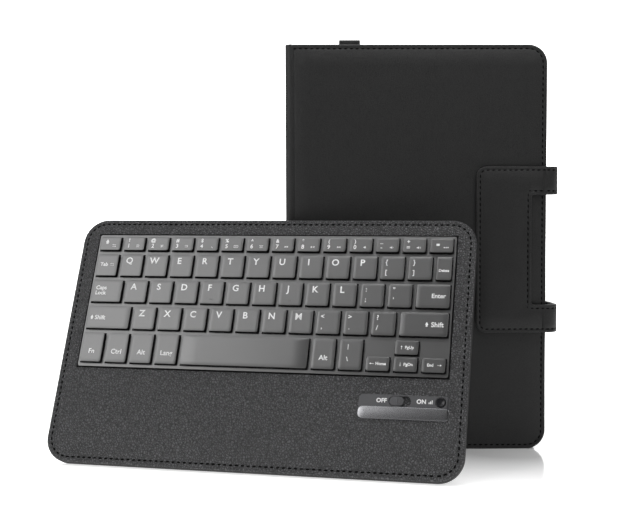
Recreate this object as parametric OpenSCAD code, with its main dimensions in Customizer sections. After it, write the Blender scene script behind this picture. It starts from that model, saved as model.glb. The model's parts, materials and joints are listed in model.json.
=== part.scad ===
// Tablet keyboard case: a leather folio that stands closed on its short edge, and the
// magnetic keyboard panel that comes out of it, leaning on the folio's spine.
// Origin: middle of the front cover's lower edge. +Z up, the front cover faces -Y,
// the spine is at -X. Millimetres.

/* [Folio] */
// Width of the closed folio, spine to free edge
cover_w = 146; // [130:1:200]
// Height of the folio as it stands
folio_h = 227; // [200:1:280]
// Depth of the closed folio, outside to outside
folio_t = 24; // [23:0.5:32]
// Thickness of each finished cover: leather, board and lining
cover_t = 2.8; // [2.6:0.1:4]
// Corner radius on the folio's free edge
cover_r = 10.5; // [4:0.5:18]
// Thickness of the outer leather
skin_t = 0.9; // [0.6:0.1:1.2]
// Thickness of the inner lining
lining_t = 0.6; // [0.4:0.1:0.8]
// Width of leather turned in round each board
turn_in = 1.6; // [1:0.1:3]
// Clearance between a fold's round edge and the cover beside it
fold_gap = 0.3; // [0.3:0.05:0.6]

/* [Tablet pocket] */
// Longest side of the tablet it holds
tablet_l = 213; // [180:1:216]
// Short side of the tablet
tablet_w = 126; // [110:1:129]
// Thickness of the tablet
tablet_t = 8; // [6:0.5:9]
// Play left round the tablet
tablet_play = 0.5; // [0.3:0.1:1]
// Wall of the pocket
pocket_wall = 1.5; // [1:0.1:2]
// Base plate of the pocket
pocket_base = 0.9; // [0.6:0.1:1.4]
// Thickness of the leather bezel that frames the screen
bezel_t = 1.1; // [0.8:0.1:1.5]
// How far the bezel covers the tablet's face
bezel_lap = 10; // [4:0.5:14]

/* [Closure flap] */
// Height of the flap
flap_h = 93; // [70:1:110]
// How far the tab lies over the front cover
flap_reach = 39.5; // [25:0.5:60]
// Thickness of the flap's doubled leather
flap_t = 1.8; // [1.2:0.1:2.4]
// Height of each arm, above and below the cut-out
arm_h = 15.6; // [10:0.2:24]
// How far the cut-out runs into the tab from the cover's edge
notch_d = 8; // [4:0.1:16]
// Radius of the cut-out's inner corners
notch_r = 1.6; // [0.5:0.1:4]
// How far the arms stand out past the covers
arm_bulge = 4; // [4:0.2:9]
// Corner radius of the tab
tab_r = 5.5; // [2:0.5:12]
// Width of the patch that is sewn on the back cover
anchor_w = 26; // [15:1:50]

/* [Pen loop] */
// Width of the elastic
loop_w = 12; // [8:1:20]
// How far the flat loop stands above the cover
loop_rise = 5; // [3:0.5:12]
// Distance from the folio's middle to the loop's middle
loop_x = -36.5; // [-60:0.5:60]
// Thickness of the elastic
loop_t = 0.8; // [0.5:0.1:1.2]
// Space left inside the flat loop
loop_gap = 1.2; // [0.6:0.1:2]

/* [Keyboard panel] */
// Length of the keyboard panel
panel_l = 225; // [215:1:270]
// Depth of the keyboard panel, top edge to palm edge
panel_d = 141; // [138:1:180]
// Thickness of the panel at the leather
panel_t = 6; // [6:0.1:8]
// Corner radius of the panel
panel_r = 13.5; // [6:0.5:16]
// Bevel where the leather rolls over the edge
panel_roll = 1.2; // [0.6:0.1:1.8]
// Width of the rolled leather edge
edge_w = 2.4; // [1.8:0.1:4]
// How far the standing panel leans back, in degrees
panel_lean = 25; // [15:1:35]
// How far the panel is turned to the viewer's left, in degrees
panel_yaw = 15; // [5:1:25]
// Distance from the folio's middle to the panel's middle, to the left
panel_x = 94.5; // [90:0.5:110]
// Gap between the leaning panel and the folio
lean_gap = 0.4; // [0.3:0.1:1]

/* [Keys] */
// Width of the field of keys
keys_w = 201; // [190:0.5:210]
// Width of a letter key
key_w = 12.45; // [11.5:0.05:12.8]
// Height of a letter key
key_h = 12.9; // [11:0.1:13.5]
// Height of a key of the number row
number_h = 7.9; // [6:0.1:10]
// Height of a key of the lowest row
bottom_h = 16.5; // [14:0.1:18]
// Gap between neighbours in a row
gap_x = 2.4; // [2:0.1:3]
// Gap between rows
gap_z = 2.7; // [2:0.1:3.2]
// Gap between the two half keys of the arrow group
arrow_gap = 1.7; // [1.2:0.1:2.4]
// Corner radius of a key
key_r = 0.9; // [0.4:0.1:1.5]
// Height of the keys above the deck
key_rise = 1.9; // [1.2:0.1:2]
// Travel of a key
key_travel = 1.1; // [0.8:0.1:1.1]
// Clearance round a key in its hole
key_play = 0.35; // [0.25:0.05:0.5]

/* [Key deck] */
// Height of the deck above the leather
deck_rise = 0.5; // [0.2:0.1:1]
// Groove between the deck and the leather
groove = 0.9; // [0.5:0.1:1.5]
// Deck left of and right of the keys
deck_side = 1.5; // [0.8:0.1:2]
// Deck above the number row
deck_top = 1.9; // [0.8:0.1:3]
// Deck below the lowest row
deck_low = 2.1; // [0.8:0.1:4]
// Distance from the panel's top edge to the deck
deck_from_top = 9.9; // [9:0.1:14]

/* [Housing] */
// Thickness of the plastic shells
shell_t = 0.8; // [0.6:0.1:1]
// Thickness of the housing's side walls
wall_t = 1.2; // [0.8:0.1:1.6]
// Clearance between the housing and the leather round it
housing_play = 0.2; // [0.1:0.05:0.4]
// Thickness of the housing's floor
floor_t = 1; // [0.6:0.1:1.2]
// Thickness of the steel plate below the keys
plate_t = 0.4; // [0.3:0.1:0.6]
// Thickness of the membrane
membrane_t = 0.3; // [0.2:0.1:0.4]
// Height of a dome pressed flat
dome_h = 0.8; // [0.5:0.1:0.9]
// Diameter of a dome
dome_d = 5; // [3:0.5:6]
// Thickness of the circuit board
board_t = 0.8; // [0.6:0.1:1.2]
// Thread diameter of the housing screws
screw_d = 1.4; // [1.2:0.1:2]
// Diameter of a holding magnet
magnet_d = 5; // [4:0.5:6]
// Thickness of a holding magnet
magnet_t = 2; // [1:0.1:2.2]

/* [Controls] */
// Length of the glossy control plate
control_w = 47; // [44:0.5:60]
// Height of the control plate
control_h = 12.8; // [12:0.1:18]
// Corner radius of the control plate
control_r = 2.4; // [1:0.1:4]
// Distance from the panel's right edge to the control plate
control_right = 8.6; // [7:0.2:20]
// Distance from the panel's lower edge to the control plate
control_low = 30.6; // [26:0.2:34]
// Height of the control plate above the leather
control_rise = 0.4; // [0.2:0.1:0.8]
// Height of the bright bar
bar_h = 6.3; // [4:0.1:7]
// Thickness of the bright bar
bar_t = 0.5; // [0.3:0.1:1]
// Length of the switch's window
slot_w = 11.6; // [10:0.1:14]
// Height of the switch's window
slot_h = 5.4; // [4:0.1:6]
// Length of the switch's knob
knob_w = 7.4; // [6:0.1:8]
// Travel of the power switch
switch_travel = 3.4; // [2:0.1:3.6]
// Diameter of the connect button
button_d = 5; // [4:0.1:6]
// Travel of the connect button
button_travel = 0.5; // [0.3:0.1:0.6]

/* [Hidden] */
$fn = 48;

// Folio: the front cover's middle plane is y = 0
front_y = -cover_t / 2;               // outside of the front cover
back_y = front_y + folio_t;           // outside of the back cover
back_in_y = back_y - cover_t;         // inside of the back cover
fold_x = -cover_w / 2 + cover_t / 2;  // both fold lines
back_fold_y = back_y - cover_t / 2;   // fold line of the back cover
cover_x0 = fold_x + cover_t / 2 + fold_gap;
cover_x1 = cover_w / 2;
board_y = cover_t - skin_t - lining_t;

// Tablet pocket
pocket_l = tablet_l + 2 * tablet_play;
pocket_w = tablet_w + 2 * tablet_play;
pocket_y1 = back_in_y;
pocket_y0 = back_in_y - pocket_base - tablet_t - tablet_play;
bezel_y0 = pocket_y0 - bezel_t;
pocket_r = 1.5;
tongue_h = 44;
tongue_t = 1.5;
loop_z0 = (folio_h + pocket_l) / 2 + pocket_wall + 0.3;

// Closure flap
skin_air = 0.3;                       // the flap lies this far off the leather
tab_y1 = front_y - skin_air;
tab_y0 = tab_y1 - flap_t;
anchor_y0 = back_y;
arm_y1 = back_y + flap_t;
hinge_x = cover_x1 - 0.8;             // both fold lines of the arms
tab_fold_y = (tab_y0 + tab_y1) / 2;
arm_fold_y = anchor_y0 + flap_t / 2;
arm_x0 = hinge_x + flap_t / 2 + fold_gap;
arm_in_x = cover_x1 + arm_bulge;
arm_in_r = arm_bulge;
flap_z = folio_h / 2 - 0.8;
tab_x0 = cover_x1 - flap_reach;
clasp_x = tab_x0 + 13;                // magnets of the tab and their catch plate
clasp_rise = 30;
clasp_d = 10;
clasp_t = 0.8;

// Keyboard panel: x along it, y into it from the leather's front, z up its face
panel_lift = (panel_t - panel_roll) * sin(panel_lean);
touch_u = (-cover_w / 2 + panel_x - sin(panel_yaw)
           * (panel_d * sin(panel_lean) + panel_t * cos(panel_lean))) / cos(panel_yaw);
panel_y = front_y - lean_gap - cos(panel_yaw)
          * (panel_d * sin(panel_lean) + panel_t * cos(panel_lean))
          + touch_u * sin(panel_yaw);
housing_l = panel_l - 2 * edge_w;
housing_d = panel_d - 2 * edge_w;
housing_r = panel_r - edge_w;
floor_y = panel_t - skin_t - floor_t;
upper_y = skin_t + shell_t;           // underside of the upper shell
seam_y = panel_t - panel_roll - 0.6;  // where the two leathers meet at the edge
plate_y = floor_y - plate_t;
membrane_y = plate_y - membrane_t;
dome_y = membrane_y - dome_h;

// Keys
row_z0 = panel_d - deck_from_top - deck_top;
number_z = row_z0 - number_h;
upper_z = number_z - gap_z - key_h;
middle_z = upper_z - gap_z - key_h;
lower_z = middle_z - gap_z - key_h;
bottom_z = lower_z - gap_z - bottom_h;
arrow_h = (bottom_h - arrow_gap) / 2;
number_w = (keys_w - 13 * gap_x) / 14;
delete_w = keys_w - 13 * (key_w + gap_x);
caps_w = (keys_w - 11 * key_w - 12 * gap_x) / 2;
shift_w = (keys_w - 10 * key_w - 11 * gap_x) / 2;
space_w = keys_w - 9 * (number_w + gap_x);
left_x = -keys_w / 2;
step_x = key_w + gap_x;
small_step = number_w + gap_x;
key_top_y = -deck_rise - key_rise;
cap_t = key_rise;
stem_w = 4;
stem_y = dome_y - 0.1 - key_travel;
space_x = left_x + 4 * small_step;
after_space_x = space_x + space_w + gap_x;

// Deck, control plate and what is inside
deck_w = keys_w + 2 * deck_side;
deck_z1 = panel_d - deck_from_top;
deck_z0 = bottom_z - deck_low;
deck_r = 1.2;
control_x = panel_l / 2 - control_right - control_w / 2;
control_z = control_low + control_h / 2;
strip_z = control_low + bar_h + (control_h - bar_h) / 2;
slot_x = control_x - 2.2;
button_x = control_x + control_w / 2 - 4.8;
control_play = 0.15;
knob_play = 0.3;
knob_h = slot_h - 2 * knob_play;
knob_x = slot_x - switch_travel / 2;
switch_t = 1.6;
board_z0 = 14;
board_z1 = 27;
battery_x = -12;
battery_z = 40.2;                     // middle of the battery
battery_l = 96;
battery_h = 24;
battery_t = floor_y - upper_y - 0.4;
socket_z = 20;
socket_w = 7.4;
socket_h = 2.2;
socket_d = 5.6;
boss_d = 3.8;
screw_head_d = 2.8;
screw_head_h = 0.6;
magnet_x = panel_l / 2 - 14;
magnet_low = 8.5;
magnet_high = panel_d - 6.9;
screw_low = 9;                        // row of screws along the palm edge
screw_high = 48;                      // row of screws below the keys
screw_spots = [[-86, screw_low], [0, screw_low], [86, screw_low],
               [-70, screw_high], [0, screw_high], [62, screw_high]];

// ---- outlines: x across, y up ----
module round_rect(w, h, r) {
    square([w - 2 * r, h], center = true);
    square([w, h - 2 * r], center = true);
    for (sx = [-1, 1], sy = [-1, 1])
        translate([sx * (w / 2 - r), sy * (h / 2 - r)]) circle(r);
}

// Rectangle from its corner, square on the left and round on the right
module cover_outline(x0, x1, z0, z1, r) {
    translate([x0, z0]) square([x1 - x0 - r, z1 - z0]);
    translate([x0, z0 + r]) square([x1 - x0, z1 - z0 - 2 * r]);
    for (z = [z0 + r, z1 - r]) translate([x1 - r, z]) circle(r);
}

module stadium(w, h) {
    square([w - h, h], center = true);
    for (s = [-1, 1]) translate([s * (w - h) / 2, 0]) circle(h / 2);
}

// Gives an upright outline its thickness, from y0 back to y1
module upright(y0, y1) {
    translate([0, y1, 0]) rotate([90, 0, 0]) linear_extrude(y1 - y0) children();
}

module spots(list) {
    for (p = list) translate([p[0], p[1]]) children();
}

// ---- folio covers ----
// One cover's leather shell, outer face at y = 0 and inner side towards +y
module cover_skin() {
    difference() {
        upright(0, cover_t) cover_outline(cover_x0, cover_x1, 0, folio_h, cover_r);
        upright(skin_t, cover_t + 1)
            cover_outline(cover_x0 + turn_in, cover_x1 - turn_in, turn_in,
                          folio_h - turn_in, cover_r - turn_in);
    }
}

module cover_fill(y0, y1) {
    upright(y0, y1) cover_outline(cover_x0 + turn_in, cover_x1 - turn_in, turn_in,
                                  folio_h - turn_in, cover_r - turn_in);
}

module at_front() { translate([0, front_y, 0]) children(); }
module at_back() { translate([0, back_y, 0]) mirror([0, 1, 0]) children(); }

module front_cover_skin() {
    color("#2c2c2c") at_front() cover_skin();
}

// Board with pockets for the catch plate and the dock plates
module front_cover_board() {
    color("#6b6152") at_front() difference() {
        cover_fill(skin_t, skin_t + board_y);
        catch_plates(0.1);
        dock_discs(0.1);
    }
}

module front_cover_lining() {
    color("#1f1f1f") at_front() cover_fill(cover_t - lining_t, cover_t);
}

// The two steel discs below the tab's magnets, with a margin to cut their pockets
module catch_plates(margin = 0) {
    upright(skin_t - margin, skin_t + clasp_t + margin)
        spots([for (s = [-1, 1]) [clasp_x, flap_z + s * clasp_rise]])
            circle(clasp_d / 2 + margin);
}

// Panel magnets seen from the folio, whose height is the panel's length
module dock_discs(margin = 0) {
    upright(skin_t + board_y - clasp_t - margin, skin_t + board_y + margin)
        spots([for (s = [-1, 1], z = [magnet_low, magnet_high])
               [z - panel_d / 2, folio_h / 2 + s * magnet_x]])
            circle(magnet_d / 2 + margin);
}

module catch_plate() {
    color("#8c8f93") at_front() catch_plates();
}

module dock_plates() {
    color("#8c8f93") at_front() dock_discs();
}

// ---- spine ----
// Cross-section of the spine in plan, with a round edge on each fold line
module spine_plan(t, inset) {
    translate([fold_x, folio_t / 2 + front_y])
        square([t, back_fold_y - 2 * inset], center = true);
    for (y = [inset, back_fold_y - inset]) translate([fold_x, y]) circle(t / 2);
}

module spine_skin() {
    color("#262626") difference() {
        linear_extrude(folio_h) spine_plan(cover_t, 0);
        translate([fold_x - cover_t / 2 + skin_t, turn_in, turn_in])
            cube([cover_t, back_fold_y - 2 * turn_in, folio_h - 2 * turn_in]);
    }
}

module spine_board() {
    color("#6b6152") translate([fold_x - cover_t / 2 + skin_t, turn_in, turn_in])
        cube([board_y, back_fold_y - 2 * turn_in, folio_h - 2 * turn_in]);
}

module spine_lining() {
    color("#1f1f1f") translate([fold_x + cover_t / 2 - lining_t, turn_in, turn_in])
        cube([lining_t, back_fold_y - 2 * turn_in, folio_h - 2 * turn_in]);
}

// ---- back cover and what it carries ----
module back_cover_skin() {
    color("#2c2c2c") at_back() cover_skin();
}

module back_cover_board() {
    color("#6b6152") at_back() cover_fill(skin_t, skin_t + board_y);
}

module back_cover_lining() {
    color("#1f1f1f") at_back() cover_fill(cover_t - lining_t, cover_t);
}

// Tray for the tablet, open on the free side where the tablet slides in
module tablet_pocket() {
    color("#242424") difference() {
        upright(pocket_y0, pocket_y1) translate([0, folio_h / 2])
            round_rect(pocket_w + 2 * pocket_wall, pocket_l + 2 * pocket_wall, 4);
        upright(pocket_y0 - 1, pocket_y1 - pocket_base) translate([0, folio_h / 2]) {
            round_rect(pocket_w, pocket_l, pocket_r);
            translate([pocket_w / 2, 0])
                square([pocket_w / 2, pocket_l - 2 * bezel_lap], center = true);
        }
    }
}

// Leather frame round the screen
module tablet_bezel() {
    color("#2a2a2a") upright(bezel_y0, pocket_y0) translate([0, folio_h / 2])
        difference() {
            round_rect(pocket_w + 2 * pocket_wall, pocket_l + 2 * pocket_wall, 4);
            round_rect(pocket_w - 2 * bezel_lap, pocket_l - 2 * bezel_lap, 3);
        }
}

// Leather tongue that shuts the pocket's open side
module pocket_tongue() {
    x0 = pocket_w / 2 + pocket_wall;
    color("#303030") translate([x0, bezel_y0, (folio_h - tongue_h) / 2])
        cube([tongue_t, back_in_y - bezel_y0, tongue_h]);
}

// Flat elastic loop sewn on the lining, standing up past the top edge
module pen_loop() {
    r = loop_t + loop_gap / 2;
    top = folio_h + loop_rise - r;
    color("#141414") translate([loop_x - loop_w / 2, back_in_y - r, 0])
        difference() {
            union() {
                translate([0, -r, loop_z0]) cube([loop_w, 2 * r, top - loop_z0]);
                translate([0, 0, top]) rotate([0, 90, 0]) cylinder(r = r, h = loop_w);
            }
            translate([-1, -loop_gap / 2, folio_h - 2])
                cube([loop_w + 2, loop_gap, top - folio_h + 2]);
            translate([-1, 0, top]) rotate([0, 90, 0])
                cylinder(r = loop_gap / 2, h = loop_w + 2);
        }
}

// Patch sewn on the back, where the flap starts
module flap_anchor() {
    color("#2c2c2c") {
        upright(anchor_y0, arm_y1) translate([0, flap_z])
            mirror([1, 0]) cover_outline(-hinge_x, anchor_w - cover_x1, -flap_h / 2,
                                         flap_h / 2, tab_r);
        for (s = [-1, 1]) fold_roll(arm_fold_y, s);
    }
}

// Round leather edge of one arm on its fold line
module fold_roll(y, side) {
    translate([hinge_x, y, flap_z + side * (flap_h - arm_h) / 2 - arm_h / 2])
        cylinder(d = flap_t, h = arm_h);
}

// ---- closure flap ----
// Band that runs round the free edge from the back cover to the front, in plan
module arm_plan() {
    mid = (tab_y1 + anchor_y0) / 2;
    depth = anchor_y0 - tab_y1;
    intersection() {
        translate([arm_x0, mid - depth]) square([40, 2 * depth]);
        translate([0, mid]) difference() {
            round_rect(2 * (arm_in_x + flap_t), depth + 2 * flap_t, arm_in_r + flap_t);
            round_rect(2 * arm_in_x, depth, arm_in_r);
        }
    }
}

module arm(side) {
    translate([0, 0, flap_z + side * (flap_h - arm_h) / 2 - arm_h / 2])
        linear_extrude(arm_h) arm_plan();
}

module upper_arm() { color("#333333") arm(1); }
module lower_arm() { color("#333333") arm(-1); }

// Outline of the tab with its cut-out, centred on the flap's middle height
module tab_outline(inset) {
    notch_h = flap_h - 2 * arm_h + 2 * inset;
    notch_x = cover_x1 - notch_d - inset;
    difference() {
        mirror([1, 0]) cover_outline(-hinge_x + inset, -tab_x0 - inset,
                                     -flap_h / 2 + inset, flap_h / 2 - inset, tab_r - inset);
        translate([notch_x + notch_d, 0]) round_rect(2 * notch_d, notch_h, notch_r);
    }
}

// Two leathers with a stiff board and the magnets between them
module flap_tab_leather() {
    color("#2f2f2f") {
        difference() {
            upright(tab_y0, tab_y1) translate([0, flap_z]) tab_outline(0);
            tab_board_solid(0);
            tab_magnets(0);
        }
        for (s = [-1, 1]) fold_roll(tab_fold_y, s);
    }
}

module tab_board_solid(margin) {
    mid = (tab_y0 + tab_y1) / 2;
    upright(mid - 0.25 - margin, mid + 0.25 + margin) translate([0, flap_z])
        difference() {
            translate([(tab_x0 + hinge_x - notch_d) / 2, 0])
                round_rect(hinge_x - notch_d - tab_x0 - 8, flap_h - 8, tab_r - 3);
            spots([for (s = [-1, 1]) [clasp_x, s * clasp_rise]]) circle(clasp_d / 2);
        }
}

module flap_tab_board() { color("#6b6152") tab_board_solid(0); }

module tab_magnets(margin) {
    upright(tab_y0 + 0.4 - margin, tab_y1 - 0.4 + margin)
        spots([for (s = [-1, 1]) [clasp_x, flap_z + s * clasp_rise]])
            circle(clasp_d / 2);
}

module flap_magnets() { color("#9a9ca0") tab_magnets(0); }

// ---- keyboard panel ----
// Stands the panel on its lower edge, leaning on the folio's spine
module standing() {
    translate([-panel_x, panel_y, panel_lift])
        rotate([0, 0, -panel_yaw]) rotate([-panel_lean, 0, 0]) children();
}

// Panel plate whose front edge is bevelled where the leather rolls over
module rolled_plate(y0, y1, bevel_front) {
    ya = bevel_front ? y0 + panel_roll : y0;
    yb = bevel_front ? y1 : y1 - panel_roll;
    yc = bevel_front ? y0 : y1;
    translate([0, 0, panel_d / 2]) hull() {
        upright(min(ya, yb), max(ya, yb)) round_rect(panel_l, panel_d, panel_r);
        upright(yc - (bevel_front ? 0 : 0.01), yc + (bevel_front ? 0.01 : 0))
            round_rect(panel_l - 2 * panel_roll, panel_d - 2 * panel_roll,
                       panel_r - panel_roll);
    }
}

module deck_outline(margin) {
    translate([0, (deck_z0 + deck_z1) / 2])
        round_rect(deck_w + 2 * margin, deck_z1 - deck_z0 + 2 * margin, deck_r);
}

module control_outline(margin) {
    translate([control_x, control_z])
        round_rect(control_w + 2 * margin, control_h + 2 * margin, control_r + margin);
}

module panel_front_skin() {
    color("#424242") standing() difference() {
        rolled_plate(0, seam_y, true);
        translate([0, 0, panel_d / 2]) upright(skin_t, panel_t)
            round_rect(housing_l, housing_d, housing_r);
        upright(-1, panel_t) deck_outline(groove);
        upright(-1, panel_t) control_outline(control_play);
        socket_window(0.3);
    }
}

module panel_back_skin() {
    color("#303030") standing() difference() {
        rolled_plate(seam_y, panel_t, false);
        translate([0, 0, panel_d / 2]) upright(seam_y - 1, panel_t - skin_t)
            round_rect(housing_l, housing_d, housing_r);
        socket_window(0.3);
    }
}

// Way in for the charging plug, through the left edge
module socket_window(margin) {
    translate([-panel_l / 2 - 1, floor_y - board_t - socket_h - margin,
               socket_z - socket_w / 2 - margin])
        cube([edge_w + wall_t + 2, socket_h + 2 * margin, socket_w + 2 * margin]);
}

// All keys: [x, z, width, height]
function row(x0, z, w, h, n, step) = [for (i = [0 : n - 1]) [x0 + i * step, z, w, h]];
number_list = row(left_x, number_z, number_w, number_h, 14, small_step);
tab_list = [[left_x, upper_z, key_w, key_h]];
upper_list = row(left_x + step_x, upper_z, key_w, key_h, 12, step_x);
delete_list = [[left_x + 13 * step_x, upper_z, delete_w, key_h]];
caps_list = [[left_x, middle_z, caps_w, key_h]];
middle_list = row(left_x + caps_w + gap_x, middle_z, key_w, key_h, 11, step_x);
enter_list = [[-left_x - caps_w, middle_z, caps_w, key_h]];
left_shift_list = [[left_x, lower_z, shift_w, key_h]];
lower_list = row(left_x + shift_w + gap_x, lower_z, key_w, key_h, 10, step_x);
right_shift_list = [[-left_x - shift_w, lower_z, shift_w, key_h]];
bottom_left = row(left_x, bottom_z, number_w, bottom_h, 4, small_step);
space_list = [[space_x, bottom_z, space_w, bottom_h]];
bottom_right = row(after_space_x, bottom_z, number_w, bottom_h, 2, small_step);
arrows = row(after_space_x + 2 * small_step, bottom_z, number_w, arrow_h, 3, small_step);
up_list = [[arrows[1][0], bottom_z + arrow_h + arrow_gap, number_w, arrow_h]];
all_keys = concat(number_list, tab_list, upper_list, delete_list, caps_list, middle_list,
                  enter_list, left_shift_list, lower_list, right_shift_list, bottom_left,
                  space_list, bottom_right, arrows, up_list);

module key_outline(k) {
    translate([k[0] + k[2] / 2, k[1] + k[3] / 2]) round_rect(k[2], k[3], key_r);
}

// Hole of a key in the deck
module key_hole(k) {
    translate([k[0] - key_play, k[1] - key_play])
        square([k[2] + 2 * key_play, k[3] + 2 * key_play]);
}

// Keys of a list: a cap that stands above the deck and a stem over its dome
module keys(list) {
    color("#858585") standing() for (k = list) {
        upright(key_top_y, key_top_y + cap_t) key_outline(k);
        upright(key_top_y + cap_t, stem_y)
            translate([k[0] + k[2] / 2, k[1] + k[3] / 2])
                square([stem_w, stem_w], center = true);
    }
}

// Upper shell: the raised deck with a hole for each key, and a plate below the leather
module upper_housing() {
    color("#7b7b7b") standing() difference() {
        union() {
            translate([0, 0, panel_d / 2]) upright(skin_t, upper_y)
                round_rect(housing_l - 2 * housing_play, housing_d - 2 * housing_play,
                           housing_r - housing_play);
            upright(-deck_rise, upper_y) deck_outline(0);
            upright(upper_y, floor_y) spots(screw_spots) circle(boss_d / 2);
        }
        upright(-deck_rise - 1, upper_y + 1) for (k = all_keys) key_hole(k);
        upright(skin_t - 1, upper_y + 1) slider_way();
        upright(skin_t - 1, upper_y + 1) translate([button_x, strip_z])
            circle(button_d / 2 + knob_play);
        upright(upper_y, floor_y + 1) spots(screw_spots) circle(screw_d / 2 + 0.05);
        upright(skin_t - 1, upper_y + 1)
            translate([-panel_l / 2, socket_z - socket_w / 2 - housing_play])
                square([edge_w + socket_d + 2 * housing_play, socket_w + 2 * housing_play]);
    }
}

// Tray that closes the housing from behind
module lower_housing() {
    color("#2b2b2b") standing() difference() {
        translate([0, 0, panel_d / 2]) upright(upper_y, panel_t - skin_t)
            round_rect(housing_l - 2 * housing_play, housing_d - 2 * housing_play,
                       housing_r - housing_play);
        translate([0, 0, panel_d / 2]) upright(upper_y - 1, floor_y)
            round_rect(housing_l - 2 * housing_play - 2 * wall_t,
                       housing_d - 2 * housing_play - 2 * wall_t,
                       housing_r - housing_play - wall_t);
        upright(floor_y - 1, panel_t) spots(screw_spots) circle(screw_d / 2 + 0.1);
        upright(panel_t - skin_t - screw_head_h, panel_t) spots(screw_spots)
            circle(screw_head_d / 2 + 0.1);
        socket_window(0);
    }
}

module field_plate(y0, y1, inset) {
    upright(y0, y1) translate([0, (deck_z0 + deck_z1) / 2])
        round_rect(deck_w - 2 * inset, deck_z1 - deck_z0 - 2 * inset, deck_r);
}

module support_plate() {
    color("#8c8f93") standing() field_plate(plate_y, floor_y, 0);
}

module membrane() {
    color("#3b4a45") standing() field_plate(membrane_y, plate_y, 0.4);
}

// A rubber dome under each key, pressed flat
module key_domes() {
    color("#c9c9c4") standing() for (k = all_keys)
        translate([k[0] + k[2] / 2, membrane_y, k[1] + k[3] / 2]) rotate([90, 0, 0])
            cylinder(d1 = dome_d, d2 = dome_d - 1.6, h = dome_h);
}

module panel_magnets() {
    color("#9a9ca0") standing() upright(floor_y - magnet_t, floor_y)
        spots([for (s = [-1, 1], z = [magnet_low, magnet_high]) [s * magnet_x, z]])
            circle(magnet_d / 2);
}

// Board along the palm edge, with a wider end below the controls
module circuit_board() {
    x1 = panel_l / 2 - edge_w - wall_t - 2;
    color("#1f4d36") standing() upright(floor_y - board_t, floor_y) difference() {
        union() {
            translate([-x1, board_z0]) square([2 * x1, board_z1 - board_z0]);
            translate([control_x - control_w / 2, board_z0])
                square([x1 - control_x + control_w / 2, strip_z + 4 - board_z0]);
        }
        spots(screw_spots) circle(boss_d / 2 + 0.3);
    }
}

module battery() {
    color("#b9bcc0") standing() upright(floor_y - battery_t, floor_y)
        difference() {
            translate([battery_x, battery_z]) round_rect(battery_l, battery_h, 1);
            translate([0, screw_high]) square(boss_d + 1, center = true);
        }
}

module slider_way() {
    translate([slot_x, strip_z]) stadium(slot_w, slot_h);
}

// Glossy plate with the switch's window and the button's hole
module control_plate() {
    color("#1b1b1e") standing() difference() {
        upright(-control_rise, skin_t) control_outline(0);
        upright(-1, skin_t + 1) slider_way();
        upright(-1, skin_t + 1) translate([button_x, strip_z])
            circle(button_d / 2 + knob_play);
    }
}

// Bright bar below the controls, round at its left end
module trim_bar() {
    x0 = control_x - control_w / 2;
    r = bar_h / 2;
    color("#a8a9ac") standing() upright(-control_rise - bar_t, -control_rise)
        translate([0, control_low]) {
            translate([x0 + r, 0]) square([control_w - 2 * r, bar_h]);
            translate([x0 + r, r]) circle(r);
            translate([x0 + control_w - r - 1, control_r])
                square([r + 1, bar_h - 2 * control_r]);
            for (z = [control_r, bar_h - control_r])
                translate([x0 + control_w - control_r, z]) circle(control_r);
        }
}

module switch_body() {
    color("#a4a6a8") standing() translate([slot_x - 5, floor_y - board_t - switch_t / 2,
                                           strip_z - 1.6])
        cube([10, switch_t / 2, 3.2]);
}

// Metal shell of the charging socket, open to the left
module charge_socket() {
    x0 = -panel_l / 2 + edge_w + housing_play;
    color("#b4b6b8") standing()
        translate([x0, floor_y - board_t - socket_h, socket_z - socket_w / 2 + 0.2])
            difference() {
                cube([socket_d, socket_h, socket_w - 0.4]);
                translate([-1, 0.3, 0.3]) cube([socket_d - 0.6, socket_h - 0.6, socket_w - 1]);
            }
}

// Screws through the floor into the upper shell's bosses
module housing_screws() {
    color("#5a5c60") standing() {
        upright(panel_t - skin_t - screw_head_h, panel_t - skin_t) spots(screw_spots)
            circle(screw_head_d / 2);
        upright(upper_y + 0.4, panel_t - skin_t - screw_head_h) spots(screw_spots)
            circle(screw_d / 2);
    }
}

// Knob of the power switch, with three grip ridges and a foot inside
module power_slider() {
    color("#26262a") standing() translate([knob_x, 0, strip_z]) {
        upright(-control_rise - 0.1, upper_y + 0.3) stadium(knob_w, knob_h);
        for (i = [0 : 2]) translate([1.2 + 0.9 * i - 0.9, 0, 0])
            upright(-control_rise - 0.4, -control_rise - 0.1)
                square([0.4, knob_h - 1.8], center = true);
    }
}

module connect_button() {
    color("#3a3a3e") standing() translate([button_x, 0, strip_z])
        upright(-control_rise - 0.2, upper_y + button_travel) circle(button_d / 2);
}

front_cover_skin();
front_cover_board();
front_cover_lining();
catch_plate();
dock_plates();
spine_skin();
spine_board();
spine_lining();
back_cover_skin();
back_cover_board();
back_cover_lining();
tablet_pocket();
tablet_bezel();
pocket_tongue();
pen_loop();
flap_anchor();
upper_arm();
lower_arm();
flap_tab_leather();
flap_tab_board();
flap_magnets();
panel_front_skin();
panel_back_skin();
upper_housing();
lower_housing();
support_plate();
membrane();
key_domes();
circuit_board();
battery();
control_plate();
trim_bar();
switch_body();
charge_socket();
panel_magnets();
housing_screws();
power_slider();
connect_button();
keys(number_list);  // number_keys
keys(tab_list);  // tab_key
keys(upper_list);  // upper_letter_keys
keys(delete_list);  // delete_key
keys(caps_list);  // caps_key
keys(middle_list);  // middle_letter_keys
keys(enter_list);  // enter_key
keys(left_shift_list);  // left_shift_key
keys(lower_list);  // lower_letter_keys
keys(right_shift_list);  // right_shift_key
keys([bottom_left[0]]);  // fn_key
keys([bottom_left[1]]);  // ctrl_key
keys([bottom_left[2]]);  // left_alt_key
keys([bottom_left[3]]);  // language_key
keys(space_list);  // space_bar
keys([bottom_right[0]]);  // right_alt_key
keys([bottom_right[1]]);  // backslash_key
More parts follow.
